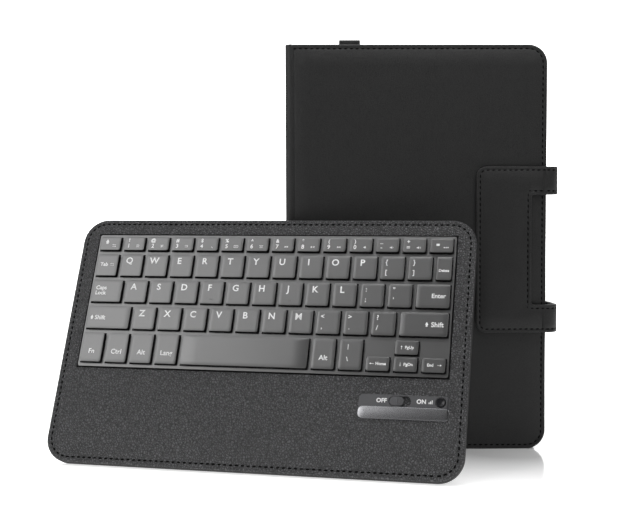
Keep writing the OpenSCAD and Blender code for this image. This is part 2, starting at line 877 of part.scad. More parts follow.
keys([arrows[0]]);  // left_arrow_key
keys(up_list);  // up_arrow_key
keys([arrows[1]]);  // down_arrow_key
keys([arrows[2]]);  // right_arrow_key
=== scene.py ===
import bpy
import bmesh
import json
import math
from mathutils import Matrix, Quaternion, Vector, noise

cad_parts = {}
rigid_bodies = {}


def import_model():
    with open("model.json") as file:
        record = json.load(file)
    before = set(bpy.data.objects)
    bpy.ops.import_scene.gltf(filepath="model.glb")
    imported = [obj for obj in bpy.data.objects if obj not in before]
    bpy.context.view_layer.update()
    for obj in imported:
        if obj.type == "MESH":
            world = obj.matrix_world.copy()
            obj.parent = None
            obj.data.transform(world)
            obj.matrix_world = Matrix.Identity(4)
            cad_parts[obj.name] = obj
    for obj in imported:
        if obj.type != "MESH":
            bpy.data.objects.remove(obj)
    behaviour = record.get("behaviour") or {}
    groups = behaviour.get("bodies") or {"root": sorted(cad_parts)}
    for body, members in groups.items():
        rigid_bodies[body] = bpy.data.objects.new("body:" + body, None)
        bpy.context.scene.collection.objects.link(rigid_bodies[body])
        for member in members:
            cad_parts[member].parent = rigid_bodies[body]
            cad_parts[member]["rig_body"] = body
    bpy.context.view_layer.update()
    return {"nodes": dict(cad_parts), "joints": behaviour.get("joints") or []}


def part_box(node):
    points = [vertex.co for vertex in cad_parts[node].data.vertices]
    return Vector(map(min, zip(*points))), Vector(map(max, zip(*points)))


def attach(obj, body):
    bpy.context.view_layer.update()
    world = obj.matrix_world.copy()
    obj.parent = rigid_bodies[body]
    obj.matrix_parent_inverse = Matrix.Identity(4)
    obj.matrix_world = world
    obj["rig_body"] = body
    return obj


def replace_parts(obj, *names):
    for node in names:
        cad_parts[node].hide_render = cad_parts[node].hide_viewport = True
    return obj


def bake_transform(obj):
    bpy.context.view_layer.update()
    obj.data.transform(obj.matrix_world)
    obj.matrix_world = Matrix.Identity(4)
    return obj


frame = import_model()
nodes = frame["nodes"]
mm = 0.001
print("frame loaded:", len(nodes), "nodes")


# Colours are sRGB hex values, turned to linear here
def toLinear(hexColour):
    parts = [int(hexColour[i:i + 2], 16) / 255 for i in (1, 3, 5)]
    return [c / 12.92 if c <= 0.04045 else ((c + 0.055) / 1.055) ** 2.4 for c in parts] + [1.0]


def addNode(tree, kind, settings=None, inputs=None):
    made = tree.nodes.new("ShaderNode" + kind)
    for name, value in (settings or {}).items():
        setattr(made, name, value)
    for name, value in (inputs or {}).items():
        if isinstance(value, bpy.types.NodeSocket):
            tree.links.new(value, made.inputs[name])
        else:
            made.inputs[name].default_value = value
    return made


def newMaterial(name, settings=None):
    mat = bpy.data.materials.new(name)
    mat.use_nodes = True
    tree = mat.node_tree
    shader = tree.nodes["Principled BSDF"]
    for socket, value in (settings or {}).items():
        shader.inputs[socket].default_value = value
    return mat, tree, shader


# Two tones that drift over the surface, with a fine bump from the same grit
def tonedFinish(name, look):
    mat, tree, shader = newMaterial(name, look.get("shader"))
    spot = addNode(tree, "TexCoord").outputs["Object"]
    cloud = addNode(tree, "TexNoise", None, {"Vector": spot, "Scale": 1 / (look["drift"] * mm), "Detail": 3.0})
    tone = addNode(tree, "Mix", {"data_type": "RGBA"}, {
        0: cloud.outputs["Fac"], 6: toLinear(look["dark"]), 7: toLinear(look["light"])})
    tree.links.new(tone.outputs[2], shader.inputs["Base Color"])
    grit = addNode(tree, "TexNoise", None, {"Vector": spot, "Scale": 1 / (look["grit"] * mm), "Detail": 4.0})
    rough = addNode(tree, "MapRange", None, {
        "Value": grit.outputs["Fac"], "From Min": 0.25, "From Max": 0.75,
        "To Min": look["smooth"], "To Max": look["rough"]})
    tree.links.new(rough.outputs["Result"], shader.inputs["Roughness"])
    bump = addNode(tree, "Bump", None, {
        "Height": grit.outputs["Fac"], "Strength": look.get("strength", 0.5),
        "Distance": look["relief"] * mm})
    tree.links.new(bump.outputs["Normal"], shader.inputs["Normal"])
    return mat


# Leather: pebbles with creases between them, pores, and painted shade that darkens the creases
def leatherFinish(name, look):
    mat, tree, shader = newMaterial(name, look["shader"])
    spot = addNode(tree, "TexCoord").outputs["Object"]
    wander = addNode(tree, "TexNoise", None, {"Vector": spot, "Scale": 0.4 / (look["pebble"] * mm), "Detail": 2.0})
    bent = addNode(tree, "VectorMath", {"operation": "MULTIPLY_ADD"}, {
        0: wander.outputs["Color"], 1: (look["pebble"] * mm * 1.6,) * 3, 2: spot})
    pebbles = addNode(tree, "TexVoronoi", {"feature": "DISTANCE_TO_EDGE"}, {
        "Vector": bent.outputs[0], "Scale": 1 / (look["pebble"] * mm)})
    dome = addNode(tree, "MapRange", {"interpolation_type": "SMOOTHSTEP"}, {
        "Value": pebbles.outputs["Distance"], "From Min": 0.0, "From Max": look["crease"]})
    pores = addNode(tree, "TexNoise", None, {"Vector": spot, "Scale": 1 / (look["pore"] * mm), "Detail": 4.0})
    cloud = addNode(tree, "TexNoise", None, {"Vector": spot, "Scale": 1 / (look["drift"] * mm), "Detail": 4.0})
    patchy = addNode(tree, "Mix", {"data_type": "RGBA"}, {
        0: cloud.outputs["Fac"], 6: toLinear(look["dark"]), 7: toLinear(look["light"])})
    # the creases between the pebbles get a darker tone: painted shade
    shadedCreases = addNode(tree, "Mix", {"data_type": "RGBA"}, {
        0: dome.outputs["Result"], 6: toLinear(look["creaseShade"]), 7: patchy.outputs[2]})
    tree.links.new(shadedCreases.outputs[2], shader.inputs["Base Color"])
    rough = addNode(tree, "MapRange", None, {
        "Value": pores.outputs["Fac"], "From Min": 0.3, "From Max": 0.7,
        "To Min": look["smooth"], "To Max": look["rough"]})
    tree.links.new(rough.outputs["Result"], shader.inputs["Roughness"])
    grain = addNode(tree, "Bump", None, {
        "Height": dome.outputs["Result"], "Strength": look["strength"], "Distance": look["relief"] * mm})
    fine = addNode(tree, "Bump", None, {
        "Height": pores.outputs["Fac"], "Strength": look["strength"], "Distance": look["relief"] * 0.4 * mm,
        "Normal": grain.outputs["Normal"]})
    tree.links.new(fine.outputs["Normal"], shader.inputs["Normal"])
    return mat


# Woven or knitted cloth: two crossed sets of threads
def wovenFinish(name, look):
    mat, tree, shader = newMaterial(name, look["shader"])
    spot = addNode(tree, "TexCoord").outputs["Object"]
    weft = addNode(tree, "TexWave", {"bands_direction": "Z"}, {
        "Vector": spot, "Scale": 0.314 / (look["thread"] * mm), "Distortion": 0.6, "Detail": 1.0})
    warp = addNode(tree, "TexWave", {"bands_direction": "X"}, {
        "Vector": spot, "Scale": 0.314 / (look["thread"] * mm), "Distortion": 0.6, "Detail": 1.0})
    cross = addNode(tree, "Math", {"operation": "MAXIMUM"}, {0: weft.outputs["Fac"], 1: warp.outputs["Fac"]})
    tone = addNode(tree, "Mix", {"data_type": "RGBA"}, {
        0: cross.outputs[0], 6: toLinear(look["dark"]), 7: toLinear(look["light"])})
    tree.links.new(tone.outputs[2], shader.inputs["Base Color"])
    bump = addNode(tree, "Bump", None, {
        "Height": cross.outputs[0], "Strength": 0.6, "Distance": look["thread"] * 0.3 * mm})
    tree.links.new(bump.outputs["Normal"], shader.inputs["Normal"])
    return mat


looks = {
    # split leather with a smooth pigmented top coat: fine tight grain, a low even sheen, painted shade in the creases
    "smoothLeather": (leatherFinish, {
        "pebble": 0.55, "crease": 0.22, "pore": 0.16, "drift": 26, "dark": "#1e1e1e", "light": "#252525",
        "creaseShade": "#151515", "smooth": 0.4, "rough": 0.56, "relief": 0.06, "strength": 0.6,
        "shader": {"IOR": 1.45, "Sheen Weight": 0.05}}),
    # pebble-embossed leather: rounded grains about a millimetre wide that catch the light one by one, painted shade in
    # the creases
    "grainedLeather": (leatherFinish, {
        "pebble": 1.25, "crease": 0.32, "pore": 0.3, "drift": 34, "dark": "#59595b", "light": "#636365",
        "creaseShade": "#262627", "smooth": 0.34, "rough": 0.54, "relief": 0.5, "strength": 1.0,
        "shader": {"IOR": 1.5, "Sheen Weight": 0.05}}),
    # waxed polyester sewing thread: dark, with a slight gloss on its twist
    "sewingThread": (tonedFinish, {
        "drift": 4, "grit": 0.14, "dark": "#010101", "light": "#050505", "smooth": 0.6, "rough": 0.75,
        "relief": 0.05, "shader": {"Specular IOR Level": 0.08}}),
    # painted shade on the turned sides of the leather and the walls of its holes: nearly black, half matt
    "edgeDye": (tonedFinish, {
        "drift": 6, "grit": 0.2, "dark": "#090909", "light": "#101010", "smooth": 0.45, "rough": 0.62,
        "relief": 0.02, "shader": {"Specular IOR Level": 0.25}}),
    # brushed microfibre lining: matt, with a short nap
    "microfibreLining": (wovenFinish, {
        "thread": 0.3, "dark": "#131313", "light": "#1d1d1d",
        "shader": {"Roughness": 0.92, "Sheen Weight": 0.35}}),
    # pressed grey board: flecked and dull
    "pressedBoard": (tonedFinish, {
        "drift": 1.2, "grit": 0.2, "dark": "#5b5245", "light": "#776c5b", "smooth": 0.8, "rough": 0.95,
        "relief": 0.04}),
    # zinc-plated sheet steel: cool grey with a cloudy shine
    "platedSteel": (tonedFinish, {
        "drift": 3, "grit": 0.25, "dark": "#8b8e92", "light": "#a4a7ab", "smooth": 0.28, "rough": 0.42,
        "relief": 0.008, "shader": {"Metallic": 1.0}}),
    # nickel-plated neodymium: bright and even
    "nickelPlate": (tonedFinish, {
        "drift": 3, "grit": 0.3, "dark": "#b0aea8", "light": "#c4c2bc", "smooth": 0.16, "rough": 0.26,
        "relief": 0.004, "shader": {"Metallic": 1.0}}),
    # moulded polycarbonate with a spark-eroded texture: dull and dark
    "mouldedTray": (tonedFinish, {
        "drift": 18, "grit": 0.28, "dark": "#151515", "light": "#1c1c1c", "smooth": 0.48, "rough": 0.66,
        "relief": 0.03}),
    # knitted elastic: raised ribs of covered rubber
    "knittedElastic": (wovenFinish, {
        "thread": 0.7, "dark": "#0b0b0b", "light": "#1b1b1b",
        "shader": {"Roughness": 0.8, "Sheen Weight": 0.3}}),
    # silver-grey paint with fine metal flake on ABS: satin, brighter towards the light
    "silverGreyPaint": (tonedFinish, {
        "drift": 30, "grit": 0.1, "dark": "#7a7a7a", "light": "#808080", "smooth": 0.34, "rough": 0.4,
        "relief": 0.002, "shader": {"Metallic": 1.0}}),
    # painted shade on the sides of the keys and in the deck's holes and groove: near black
    "blackKeySide": (tonedFinish, {
        "drift": 10, "grit": 0.2, "dark": "#040404", "light": "#070707", "smooth": 0.6, "rough": 0.7,
        "relief": 0.006, "shader": {"Specular IOR Level": 0.25}}),
    # black moulded ABS of the housing
    "mouldedHousing": (tonedFinish, {
        "drift": 20, "grit": 0.25, "dark": "#101010", "light": "#161616", "smooth": 0.5, "rough": 0.65,
        "relief": 0.02}),
    # printed polyester film: smooth, slightly milky
    "polyesterFilm": (tonedFinish, {
        "drift": 8, "grit": 0.3, "dark": "#31403b", "light": "#3d4d48", "smooth": 0.22, "rough": 0.34,
        "relief": 0.003}),
    # silicone rubber domes
    "siliconeRubber": (tonedFinish, {
        "drift": 4, "grit": 0.2, "dark": "#bdbdb8", "light": "#cdcdc8", "smooth": 0.5, "rough": 0.62,
        "relief": 0.006}),
    # green solder resist over woven glass
    "solderResist": (wovenFinish, {
        "thread": 0.5, "dark": "#17402c", "light": "#1f4f38", "shader": {"Roughness": 0.34}}),
    # aluminised pouch of the battery
    "pouchFoil": (tonedFinish, {
        "drift": 9, "grit": 1.4, "dark": "#a7aaae", "light": "#bcbfc3", "smooth": 0.26, "rough": 0.44,
        "relief": 0.05, "shader": {"Metallic": 0.9}}),
    # dark satin plate of the controls
    "satinPlate": (tonedFinish, {
        "drift": 24, "grit": 0.16, "dark": "#5a5a5c", "light": "#616163", "smooth": 0.3, "rough": 0.42,
        "relief": 0.008, "shader": {"Metallic": 0.3}}),
    # anodised aluminium bar, finely blasted
    "anodisedBar": (tonedFinish, {
        "drift": 20, "grit": 0.14, "dark": "#b2b2b5", "light": "#bababd", "smooth": 0.26, "rough": 0.3,
        "relief": 0.001, "shader": {"Metallic": 1.0}}),
    # black glossy ABS of the knob and the button
    "glossKnob": (tonedFinish, {
        "drift": 6, "grit": 0.4, "dark": "#1d1d1f", "light": "#242427", "smooth": 0.16, "rough": 0.26,
        "relief": 0.003}),
    # pad-printed white ink: thin, a little uneven
    "whiteInk": (tonedFinish, {
        "drift": 0.8, "grit": 0.1, "dark": "#e2e2e2", "light": "#fbfbfb", "smooth": 0.5, "rough": 0.65,
        "relief": 0.004, "shader": {"Specular IOR Level": 0.3}}),
}
finishes = {name: make(name, look) for name, (make, look) in looks.items()}
print("finishes made:", len(finishes))


# A bmesh becomes a finished piece that rides on its body
def addPiece(bm, name, mats, body=None, place=None, smooth=35):
    if place:
        bmesh.ops.transform(bm, matrix=place, verts=bm.verts)
    bmesh.ops.remove_doubles(bm, verts=bm.verts, dist=2e-7)
    bmesh.ops.recalc_face_normals(bm, faces=bm.faces)
    mesh = bpy.data.meshes.new(name)
    bm.to_mesh(mesh)
    bm.free()
    for mat in mats:
        mesh.materials.append(finishes[mat])
    mesh.polygons.foreach_set("use_smooth", [True] * len(mesh.polygons))
    mesh.set_sharp_from_angle(angle=math.radians(smooth))
    piece = bpy.data.objects.new(name, mesh)
    bpy.context.scene.collection.objects.link(piece)
    if body:
        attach(piece, body)
    return piece


# A flat outline in the xz plane from its corner points
def flatOutline(bm, points):
    return bm.faces.new([bm.verts.new((x * mm, 0, z * mm)) for x, z in points])


def roundCorners(bm, isCorner, radius, steps=8):
    corners = [v for v in bm.verts if isCorner(v.co / mm)]
    bmesh.ops.bevel(bm, geom=corners, offset=radius * mm, offset_type="OFFSET", segments=steps,
                    profile=0.5, affect="VERTICES", material=-1)


def pullFaces(bm, faces, step):
    grown = bmesh.ops.extrude_face_region(bm, geom=faces)["geom"]
    bmesh.ops.translate(bm, vec=step, verts=[g for g in grown if isinstance(g, bmesh.types.BMVert)])


# Moves the flat outline to depth y and thickens it towards +y
def thicken(bm, y, depth):
    bmesh.ops.translate(bm, vec=(0, y * mm, 0), verts=bm.verts)
    pullFaces(bm, list(bm.faces), (0, depth * mm, 0))
    bmesh.ops.recalc_face_normals(bm, faces=bm.faces)


# Rounds the rim that lies at depth y, except where skip says so
def rollRim(bm, y, roll, steps=4, skip=lambda p: False):
    bm.normal_update()
    rim = [e for e in bm.edges if all(abs(v.co.y - y * mm) < 1e-7 for v in e.verts)
           and len(e.link_faces) == 2 and abs(e.link_faces[0].normal.dot(e.link_faces[1].normal)) < 0.5
           and not all(skip(v.co / mm) for v in e.verts)]
    bmesh.ops.bevel(bm, geom=rim, offset=roll * mm, offset_type="OFFSET", segments=steps,
                    profile=0.5, affect="EDGES", material=-1)


def largestFace(bm, facing):
    return max((f for f in bm.faces if f.normal.dot(Vector(facing)) > 0.99), key=lambda f: f.calc_area())


# Presses a shallow channel for the seam into the flat face
def seamChannel(bm, facing, margin, width, depth):
    bm.normal_update()
    for inward, down in ((margin, 0), (width / 2, -depth), (width / 2, depth)):
        bmesh.ops.inset_region(bm, faces=[largestFace(bm, facing)], thickness=inward * mm,
                               depth=down * mm, use_even_offset=True)
        bm.normal_update()


def cutThrough(bm, at, normal):
    bmesh.ops.bisect_plane(bm, geom=list(bm.verts) + list(bm.edges) + list(bm.faces), plane_co=at, plane_no=normal)


# Cuts a flat slab into patches so that it can be made uneven
def cutPatches(bm, axis, start, stop, step):
    count = max(1, round((stop - start) / step))
    for i in range(1, count):
        at = Vector((0, 0, 0))
        at[axis] = (start + (stop - start) * i / count) * mm
        normal = Vector((0, 0, 0))
        normal[axis] = 1
        cutThrough(bm, at, normal)


# Gives the turned sides the second material, a painted shade
def paintSideShade(bm):
    bm.normal_update()
    for f in bm.faces:
        f.material_index = 1 if abs(f.normal.y) < 0.5 else 0


softness = {"side": 0.16, "face": 0.1, "wave": 32}   # how far leather strays from true, in mm


def strayLeather(bm):
    for v in bm.verts:
        spot = v.co / (softness["wave"] * mm)
        v.co.x += noise.noise(spot) * softness["side"] * mm
        v.co.z += noise.noise(spot + Vector((7, 3, 5))) * softness["side"] * mm
        v.co.y += noise.noise(spot + Vector((2, 9, 4))) * softness["face"] * mm


def arc(cx, cz, radius, start, stop, steps=10):
    turns = [math.radians(start + (stop - start) * i / steps) for i in range(steps + 1)]
    return [(cx + radius * math.cos(t), cz + radius * math.sin(t)) for t in turns]


seam = {"pitch": 3.15, "length": 2.0, "height": 0.66, "slant": 5, "proud": 0.08}   # lockstitch


# Lays stitches along a path, given in mm; outward gives the surface's direction at a point
def sewSeam(bm, path, outward, width=0.8):
    spare = seam["pitch"] / 2
    for a, b in zip(path, path[1:]):
        run = (b - a).length
        while spare < run:
            spot = a + (b - a) * (spare / run)
            out = outward(spot).normalized()
            run3 = Matrix.Rotation(math.radians(seam["slant"]), 3, out) @ (b - a).normalized()
            turn = Matrix((run3, out, run3.cross(out))).transposed().to_4x4()
            place = (Matrix.Translation((spot + out * seam["proud"]) * mm) @ turn
                     @ Matrix.Diagonal((seam["length"] * mm, seam["height"] * mm, width * mm, 1))
                     @ Matrix.Rotation(math.pi / 2, 4, "Y"))
            bmesh.ops.create_uvsphere(bm, u_segments=6, v_segments=5, radius=0.5, matrix=place)
            spare += seam["pitch"]
        spare -= run


def flatPath(path, y):
    return [Vector((x, y, z)) for x, z in path]


def facingFront(spot):
    return Vector((0, -1, 0))


def facingBack(spot):
    return Vector((0, 1, 0))


# A merged copy of a CAD node with its edges broken, which then stands for the node
def softenedCopy(node, name, mat, width, steps=2, smooth=30):
    bm = bmesh.new()
    bm.from_mesh(nodes[node].data)
    bmesh.ops.remove_doubles(bm, verts=bm.verts, dist=1e-6)
    bmesh.ops.dissolve_limit(bm, angle_limit=math.radians(0.6), verts=bm.verts, edges=bm.edges)
    body = nodes[node]["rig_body"]
    piece = addPiece(bm, name, [mat], body, smooth=smooth)
    bevel = piece.modifiers.new("brokenEdges", "BEVEL")
    bevel.width, bevel.segments, bevel.limit_method = width * mm, steps, "ANGLE"
    bevel.angle_limit = math.radians(32)
    bevel.harden_normals = True
    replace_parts(piece, node)
    return piece


def boxOf(node):
    low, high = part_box(node)
    return low / mm, high / mm


# Folio: covers, folds and spine
coverLow, coverHigh = boxOf("front_cover_skin")
spineLow, spineHigh = boxOf("spine_skin")
folio = {"foldRadius": 3.6, "leather": 0.9, "turnIn": 1.55, "cornerRadius": 10.5, "rim": 0.9,
         "seamIn": 2.4, "channel": 1.3, "channelDepth": 0.32, "innerRim": 0.5, "hollow": 1.88}
foldX = spineLow.x + folio["foldRadius"]
foldY = coverLow.y + folio["foldRadius"]
top = coverHigh.z
midY = (spineLow.y + spineHigh.y) / 2
toBack = Matrix.Translation((0, midY * 2 * mm, 0)) @ Matrix.Diagonal((1, -1, 1, 1))


def coverLeather(name, body, node, place):
    bm = bmesh.new()
    flatOutline(bm, [(foldX, 0), (coverHigh.x, 0), (coverHigh.x, top), (foldX, top)])
    roundCorners(bm, lambda p: p.x > 0, folio["cornerRadius"], 10)
    thicken(bm, coverLow.y, coverHigh.y - coverLow.y)
    atFold = lambda p: p.x < foldX + 0.01
    rollRim(bm, coverLow.y, folio["rim"], 4, atFold)
    rollRim(bm, coverHigh.y, folio["innerRim"], 3, atFold)
    seamChannel(bm, (0, -1, 0), folio["seamIn"] - folio["rim"] - folio["channel"] / 2,
                folio["channel"], folio["channelDepth"])
    inner = largestFace(bm, (0, 1, 0))
    bmesh.ops.inset_region(bm, faces=[inner], thickness=(folio["turnIn"] - folio["innerRim"]) * mm,
                           use_even_offset=True)
    bmesh.ops.inset_region(bm, faces=[inner], thickness=0.01 * mm, depth=-folio["hollow"] * mm, use_even_offset=True)
    cutPatches(bm, 0, foldX, coverHigh.x, 12)
    cutPatches(bm, 2, 0, top, 12)
    # the turned sides get painted shade
    paintSideShade(bm)
    strayLeather(bm)
    piece = addPiece(bm, name, ["smoothLeather", "edgeDye"], body, place, 40)
    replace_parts(piece, node)
    seams = bmesh.new()
    reach = folio["seamIn"]
    radius = folio["cornerRadius"] - reach
    path = ([(foldX + 0.5, reach)] + arc(coverHigh.x - folio["cornerRadius"], folio["cornerRadius"], radius, -90, 0)
            + arc(coverHigh.x - folio["cornerRadius"], top - folio["cornerRadius"], radius, 0, 90)
            + [(foldX + 0.5, top - reach)])
    sewSeam(seams, flatPath(path, coverLow.y + folio["channelDepth"]), facingFront)
    addPiece(seams, name + "Seam", ["sewingThread"], body, place, 60)


coverLeather("frontCoverLeather", "front_cover", "front_cover_skin", Matrix())
coverLeather("backCoverLeather", "back_cover", "back_cover_skin", toBack)


# Quarter-round leather between a cover and the spine
def foldLeather(name, place):
    bm = bmesh.new()
    bmesh.ops.create_grid(bm, x_segments=1, y_segments=1, size=0.5)
    bmesh.ops.scale(bm, vec=(folio["leather"] * mm, top * mm, 1), verts=bm.verts)
    bmesh.ops.rotate(bm, cent=(0, 0, 0), matrix=Matrix.Rotation(math.pi / 2, 3, "X"), verts=bm.verts)
    bmesh.ops.rotate(bm, cent=(0, 0, 0), matrix=Matrix.Rotation(math.pi / 2, 3, "Z"), verts=bm.verts)
    bmesh.ops.translate(bm, vec=(foldX * mm, (coverLow.y + folio["leather"] / 2) * mm, top / 2 * mm), verts=bm.verts)
    bmesh.ops.spin(bm, geom=list(bm.verts) + list(bm.edges) + list(bm.faces), cent=(foldX * mm, foldY * mm, 0),
                   axis=(0, 0, 1), angle=-math.pi / 2, steps=8)
    cutPatches(bm, 2, 0, top, 12)
    strayLeather(bm)
    piece = addPiece(bm, name, ["smoothLeather"], None, place, 40)
    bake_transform(piece)


foldLeather("frontFoldLeather", Matrix())
foldLeather("backFoldLeather", toBack)


def spineLeather():
    outer, inner, wall = spineLow.x, spineHigh.x, spineLow.x + folio["leather"]
    lip = folio["turnIn"]
    bm = bmesh.new()
    flatOutline(bm, [(outer, 0), (inner, 0), (inner, lip), (wall, lip), (wall, top - lip), (inner, top - lip),
                     (inner, top), (outer, top)])
    thicken(bm, foldY, 2 * (midY - foldY))
    bm.normal_update()
    cutPatches(bm, 2, 0, top, 12)
    cutPatches(bm, 1, foldY, 2 * midY - foldY, 6)
    strayLeather(bm)
    piece = addPiece(bm, "spineLeather", ["smoothLeather"], "spine", None, 40)
    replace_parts(piece, "spine_skin")


spineLeather()
print("folio leather made")

# Closure flap: tab, two arms and the patch on the back
tabLow, tabHigh = boxOf("flap_tab_leather")
armLow, armHigh = boxOf("lower_arm")
upLow, upHigh = boxOf("upper_arm")
patchLow, patchHigh = boxOf("flap_anchor")
flap = {"cornerRadius": 5.5, "notchIn": 8.7, "notchRadius": 1.6, "rim": 0.55, "seamIn": 2.0,
        "channel": 1.1, "channelDepth": 0.28, "foldX": coverHigh.x - 0.8, "armRadius": 6.1, "bend": 1.8,
        "innerRim": 0.35}
flapT = 1.8
armH = armHigh.z - armLow.z
notchX = coverHigh.x - flap["notchIn"]


def flapTab():
    z0, z1 = tabLow.z, tabHigh.z
    bm = bmesh.new()
    flatOutline(bm, [(tabLow.x, z0), (flap["foldX"], z0), (flap["foldX"], z0 + armH), (notchX, z0 + armH),
                     (notchX, z1 - armH), (flap["foldX"], z1 - armH), (flap["foldX"], z1), (tabLow.x, z1)])
    roundCorners(bm, lambda p: p.x < tabLow.x + 0.01, flap["cornerRadius"], 10)
    roundCorners(bm, lambda p: abs(p.x - notchX) < 0.01, flap["notchRadius"], 5)
    thicken(bm, tabLow.y, flapT)
    atFold = lambda p: p.x > flap["foldX"] - 0.01
    rollRim(bm, tabLow.y, flap["rim"], 4, atFold)
    rollRim(bm, tabLow.y + flapT, flap["innerRim"], 2, atFold)
    seamChannel(bm, (0, -1, 0), flap["seamIn"] - flap["rim"] - flap["channel"] / 2, flap["channel"],
                flap["channelDepth"])
    cutPatches(bm, 0, tabLow.x, flap["foldX"], 9)
    cutPatches(bm, 2, z0, z1, 9)
    strayLeather(bm)
    piece = addPiece(bm, "flapTabLeather", ["smoothLeather"], "flap_tab", None, 40)
    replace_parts(piece, "flap_tab_leather")
    seams = bmesh.new()
    s = flap["seamIn"]
    r = flap["cornerRadius"] - s
    x0, c = tabLow.x + s, flap["cornerRadius"]
    outer = ([(flap["foldX"] + 0.5, z0 + s)] + arc(tabLow.x + c, z0 + c, r, -90, -180)
             + arc(tabLow.x + c, z1 - c, r, 180, 90) + [(flap["foldX"] + 0.5, z1 - s)])
    inner = [(flap["foldX"] + 0.5, z0 + armH - s), (notchX - s, z0 + armH - s), (notchX - s, z1 - armH + s),
             (flap["foldX"] + 0.5, z1 - armH + s)]
    for path in (outer, inner):
        sewSeam(seams, flatPath(path, tabLow.y + flap["channelDepth"]), facingFront)
    addPiece(seams, "flapTabSeam", ["sewingThread"], "flap_tab", None, 60)


flapTab()


# One arm, as two quarter turns that meet half way round the free edge
def flapArm(name, z0, node):
    t, half = flapT, flap["channel"] / 2
    centre = Vector((coverHigh.x, tabLow.y + t / 2 + flap["armRadius"], 0))
    midY = (patchHigh.y + tabLow.y) / 2
    seamZ = (z0 + flap["seamIn"], z0 + armH - flap["seamIn"])
    toRear = Matrix.Translation((0, 2 * midY * mm, 0)) @ Matrix.Diagonal((1, -1, 1, 1))
    for side, body, place in (("Front", "flap_tab", Matrix()), ("Rear", "back_cover", toRear)):
        bm = bmesh.new()
        groove = [p for z in seamZ for p in ((0, z - half), (flap["channelDepth"], z), (0, z + half))]
        flatOutline(bm, [(t, z0), (0, z0)] + groove + [(0, z0 + armH), (t, z0 + armH)])
        roundCorners(bm, lambda p: p.z < z0 + 0.01 or p.z > z0 + armH - 0.01, flap["rim"], 4)
        bmesh.ops.rotate(bm, cent=(0, 0, 0), matrix=Matrix.Rotation(math.pi / 2, 3, "Z"), verts=bm.verts)
        bmesh.ops.translate(bm, vec=(flap["foldX"] * mm, tabLow.y * mm, 0), verts=bm.verts)
        pullFaces(bm, list(bm.faces), ((coverHigh.x - flap["foldX"]) * mm, 0, 0))
        bmesh.ops.recalc_face_normals(bm, faces=bm.faces)
        bm.normal_update()
        end = [f for f in bm.faces if f.normal.x > 0.9 and f.calc_center_median().x > (coverHigh.x - 0.01) * mm]
        spun = bmesh.ops.spin(bm, geom=end, cent=centre * mm, axis=(0, 0, 1), angle=math.pi / 2, steps=10)["geom_last"]
        last = [f for f in spun if isinstance(f, bmesh.types.BMFace)]
        pullFaces(bm, last, (0, (midY - centre.y) * mm, 0))
        cutPatches(bm, 2, z0, z0 + armH, 5)
        strayLeather(bm)
        piece = addPiece(bm, name + side, ["smoothLeather"], None, place, 40)
        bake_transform(piece)
        if side == "Front":
            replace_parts(piece, node)
        seams = bmesh.new()
        r = flap["armRadius"] + t / 2 - flap["channelDepth"]
        for z in seamZ:
            path = [Vector((flap["foldX"], centre.y - r, z))]
            path += [Vector((x, y, z)) for x, y in arc(centre.x, centre.y, r, -90, 0)]
            path += [Vector((centre.x + r, midY, z))]
            sewSeam(seams, path, lambda p: Vector((p.x - centre.x, min(p.y - centre.y, 0), 0)))
        stitches = addPiece(seams, name + side + "Seam", ["sewingThread"], None, place, 60)
        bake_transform(stitches)


flapArm("lowerArm", armLow.z, "lower_arm")
flapArm("upperArm", upLow.z, "upper_arm")


def anchorPatch():
    x0, z0, z1, s, c = patchLow.x, patchLow.z, patchHigh.z, flap["seamIn"], flap["cornerRadius"]
    bm = bmesh.new()
    flatOutline(bm, [(x0, z0), (flap["foldX"], z0), (flap["foldX"], z1), (x0, z1)])
    roundCorners(bm, lambda p: p.x < x0 + 0.01, c, 10)
    thicken(bm, patchLow.y, flapT)
    rollRim(bm, patchLow.y + flapT, flap["rim"], 4)
    seamChannel(bm, (0, 1, 0), s - flap["rim"] - flap["channel"] / 2, flap["channel"], flap["channelDepth"])
    cutPatches(bm, 0, x0, flap["foldX"], 9)
    cutPatches(bm, 2, z0, z1, 9)
    piece = addPiece(bm, "anchorPatchLeather", ["smoothLeather"], "back_cover", None, 40)
    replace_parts(piece, "flap_anchor")
    seams = bmesh.new()
    path = ([(flap["foldX"] - s, z0 + s)] + arc(x0 + c, z0 + c, c - s, -90, -180)
            + arc(x0 + c, z1 - c, c - s, 180, 90) + [(flap["foldX"] - s, z1 - s), (flap["foldX"] - s, z0 + s)])
    sewSeam(seams, flatPath(path, patchLow.y + flapT - flap["channelDepth"]), facingBack)
    addPiece(seams, "anchorPatchSeam", ["sewingThread"], "back_cover", None, 60)


anchorPatch()
print("closure flap made")

# The keyboard panel leans, so its pieces are made flat and then put in place
joints = {j["name"]: j for j in frame["joints"]}
along = Vector(joints["switch_slide"]["axis"]).normalized()
inward = Vector(joints["button_press"]["axis"]).normalized()
upFace = along.cross(inward)


# Reach of a node along the panel's own directions, in mm
def panelReach(node):
    spots = [v.co for v in nodes[node].data.vertices]
    return [(min(s.dot(d) for s in spots) / mm, max(s.dot(d) for s in spots) / mm) for d in (along, inward, upFace)]


reach = panelReach("panel_front_skin")
origin = (along * sum(reach[0]) / 2 + inward * reach[1][0] + upFace * reach[2][0]) * mm
onPanel = Matrix.Translation(origin) @ Matrix((along, inward, upFace)).transposed().to_4x4()


# Box of a node in the panel's own frame: x along it, y into it, z up its face
def panelBox(node):
    spots = panelReach(node)
    shift = [origin.dot(d) / mm for d in (along, inward, upFace)]
    return [(low - s, high - s) for (low, high), s in zip(spots, shift)]


panelHalf = (reach[0][1] - reach[0][0]) / 2
panelDepth = reach[2][1] - reach[2][0]
seamY = reach[1][1] - reach[1][0]
panelThick = panelBox("panel_back_skin")[1][1]
panel = {"cornerRadius": 13.5, "roll": 1.2, "seamIn": 2.9, "channel": 1.2,
         "channelDepth": 0.3, "groove": 0.9, "wall": 1.6}


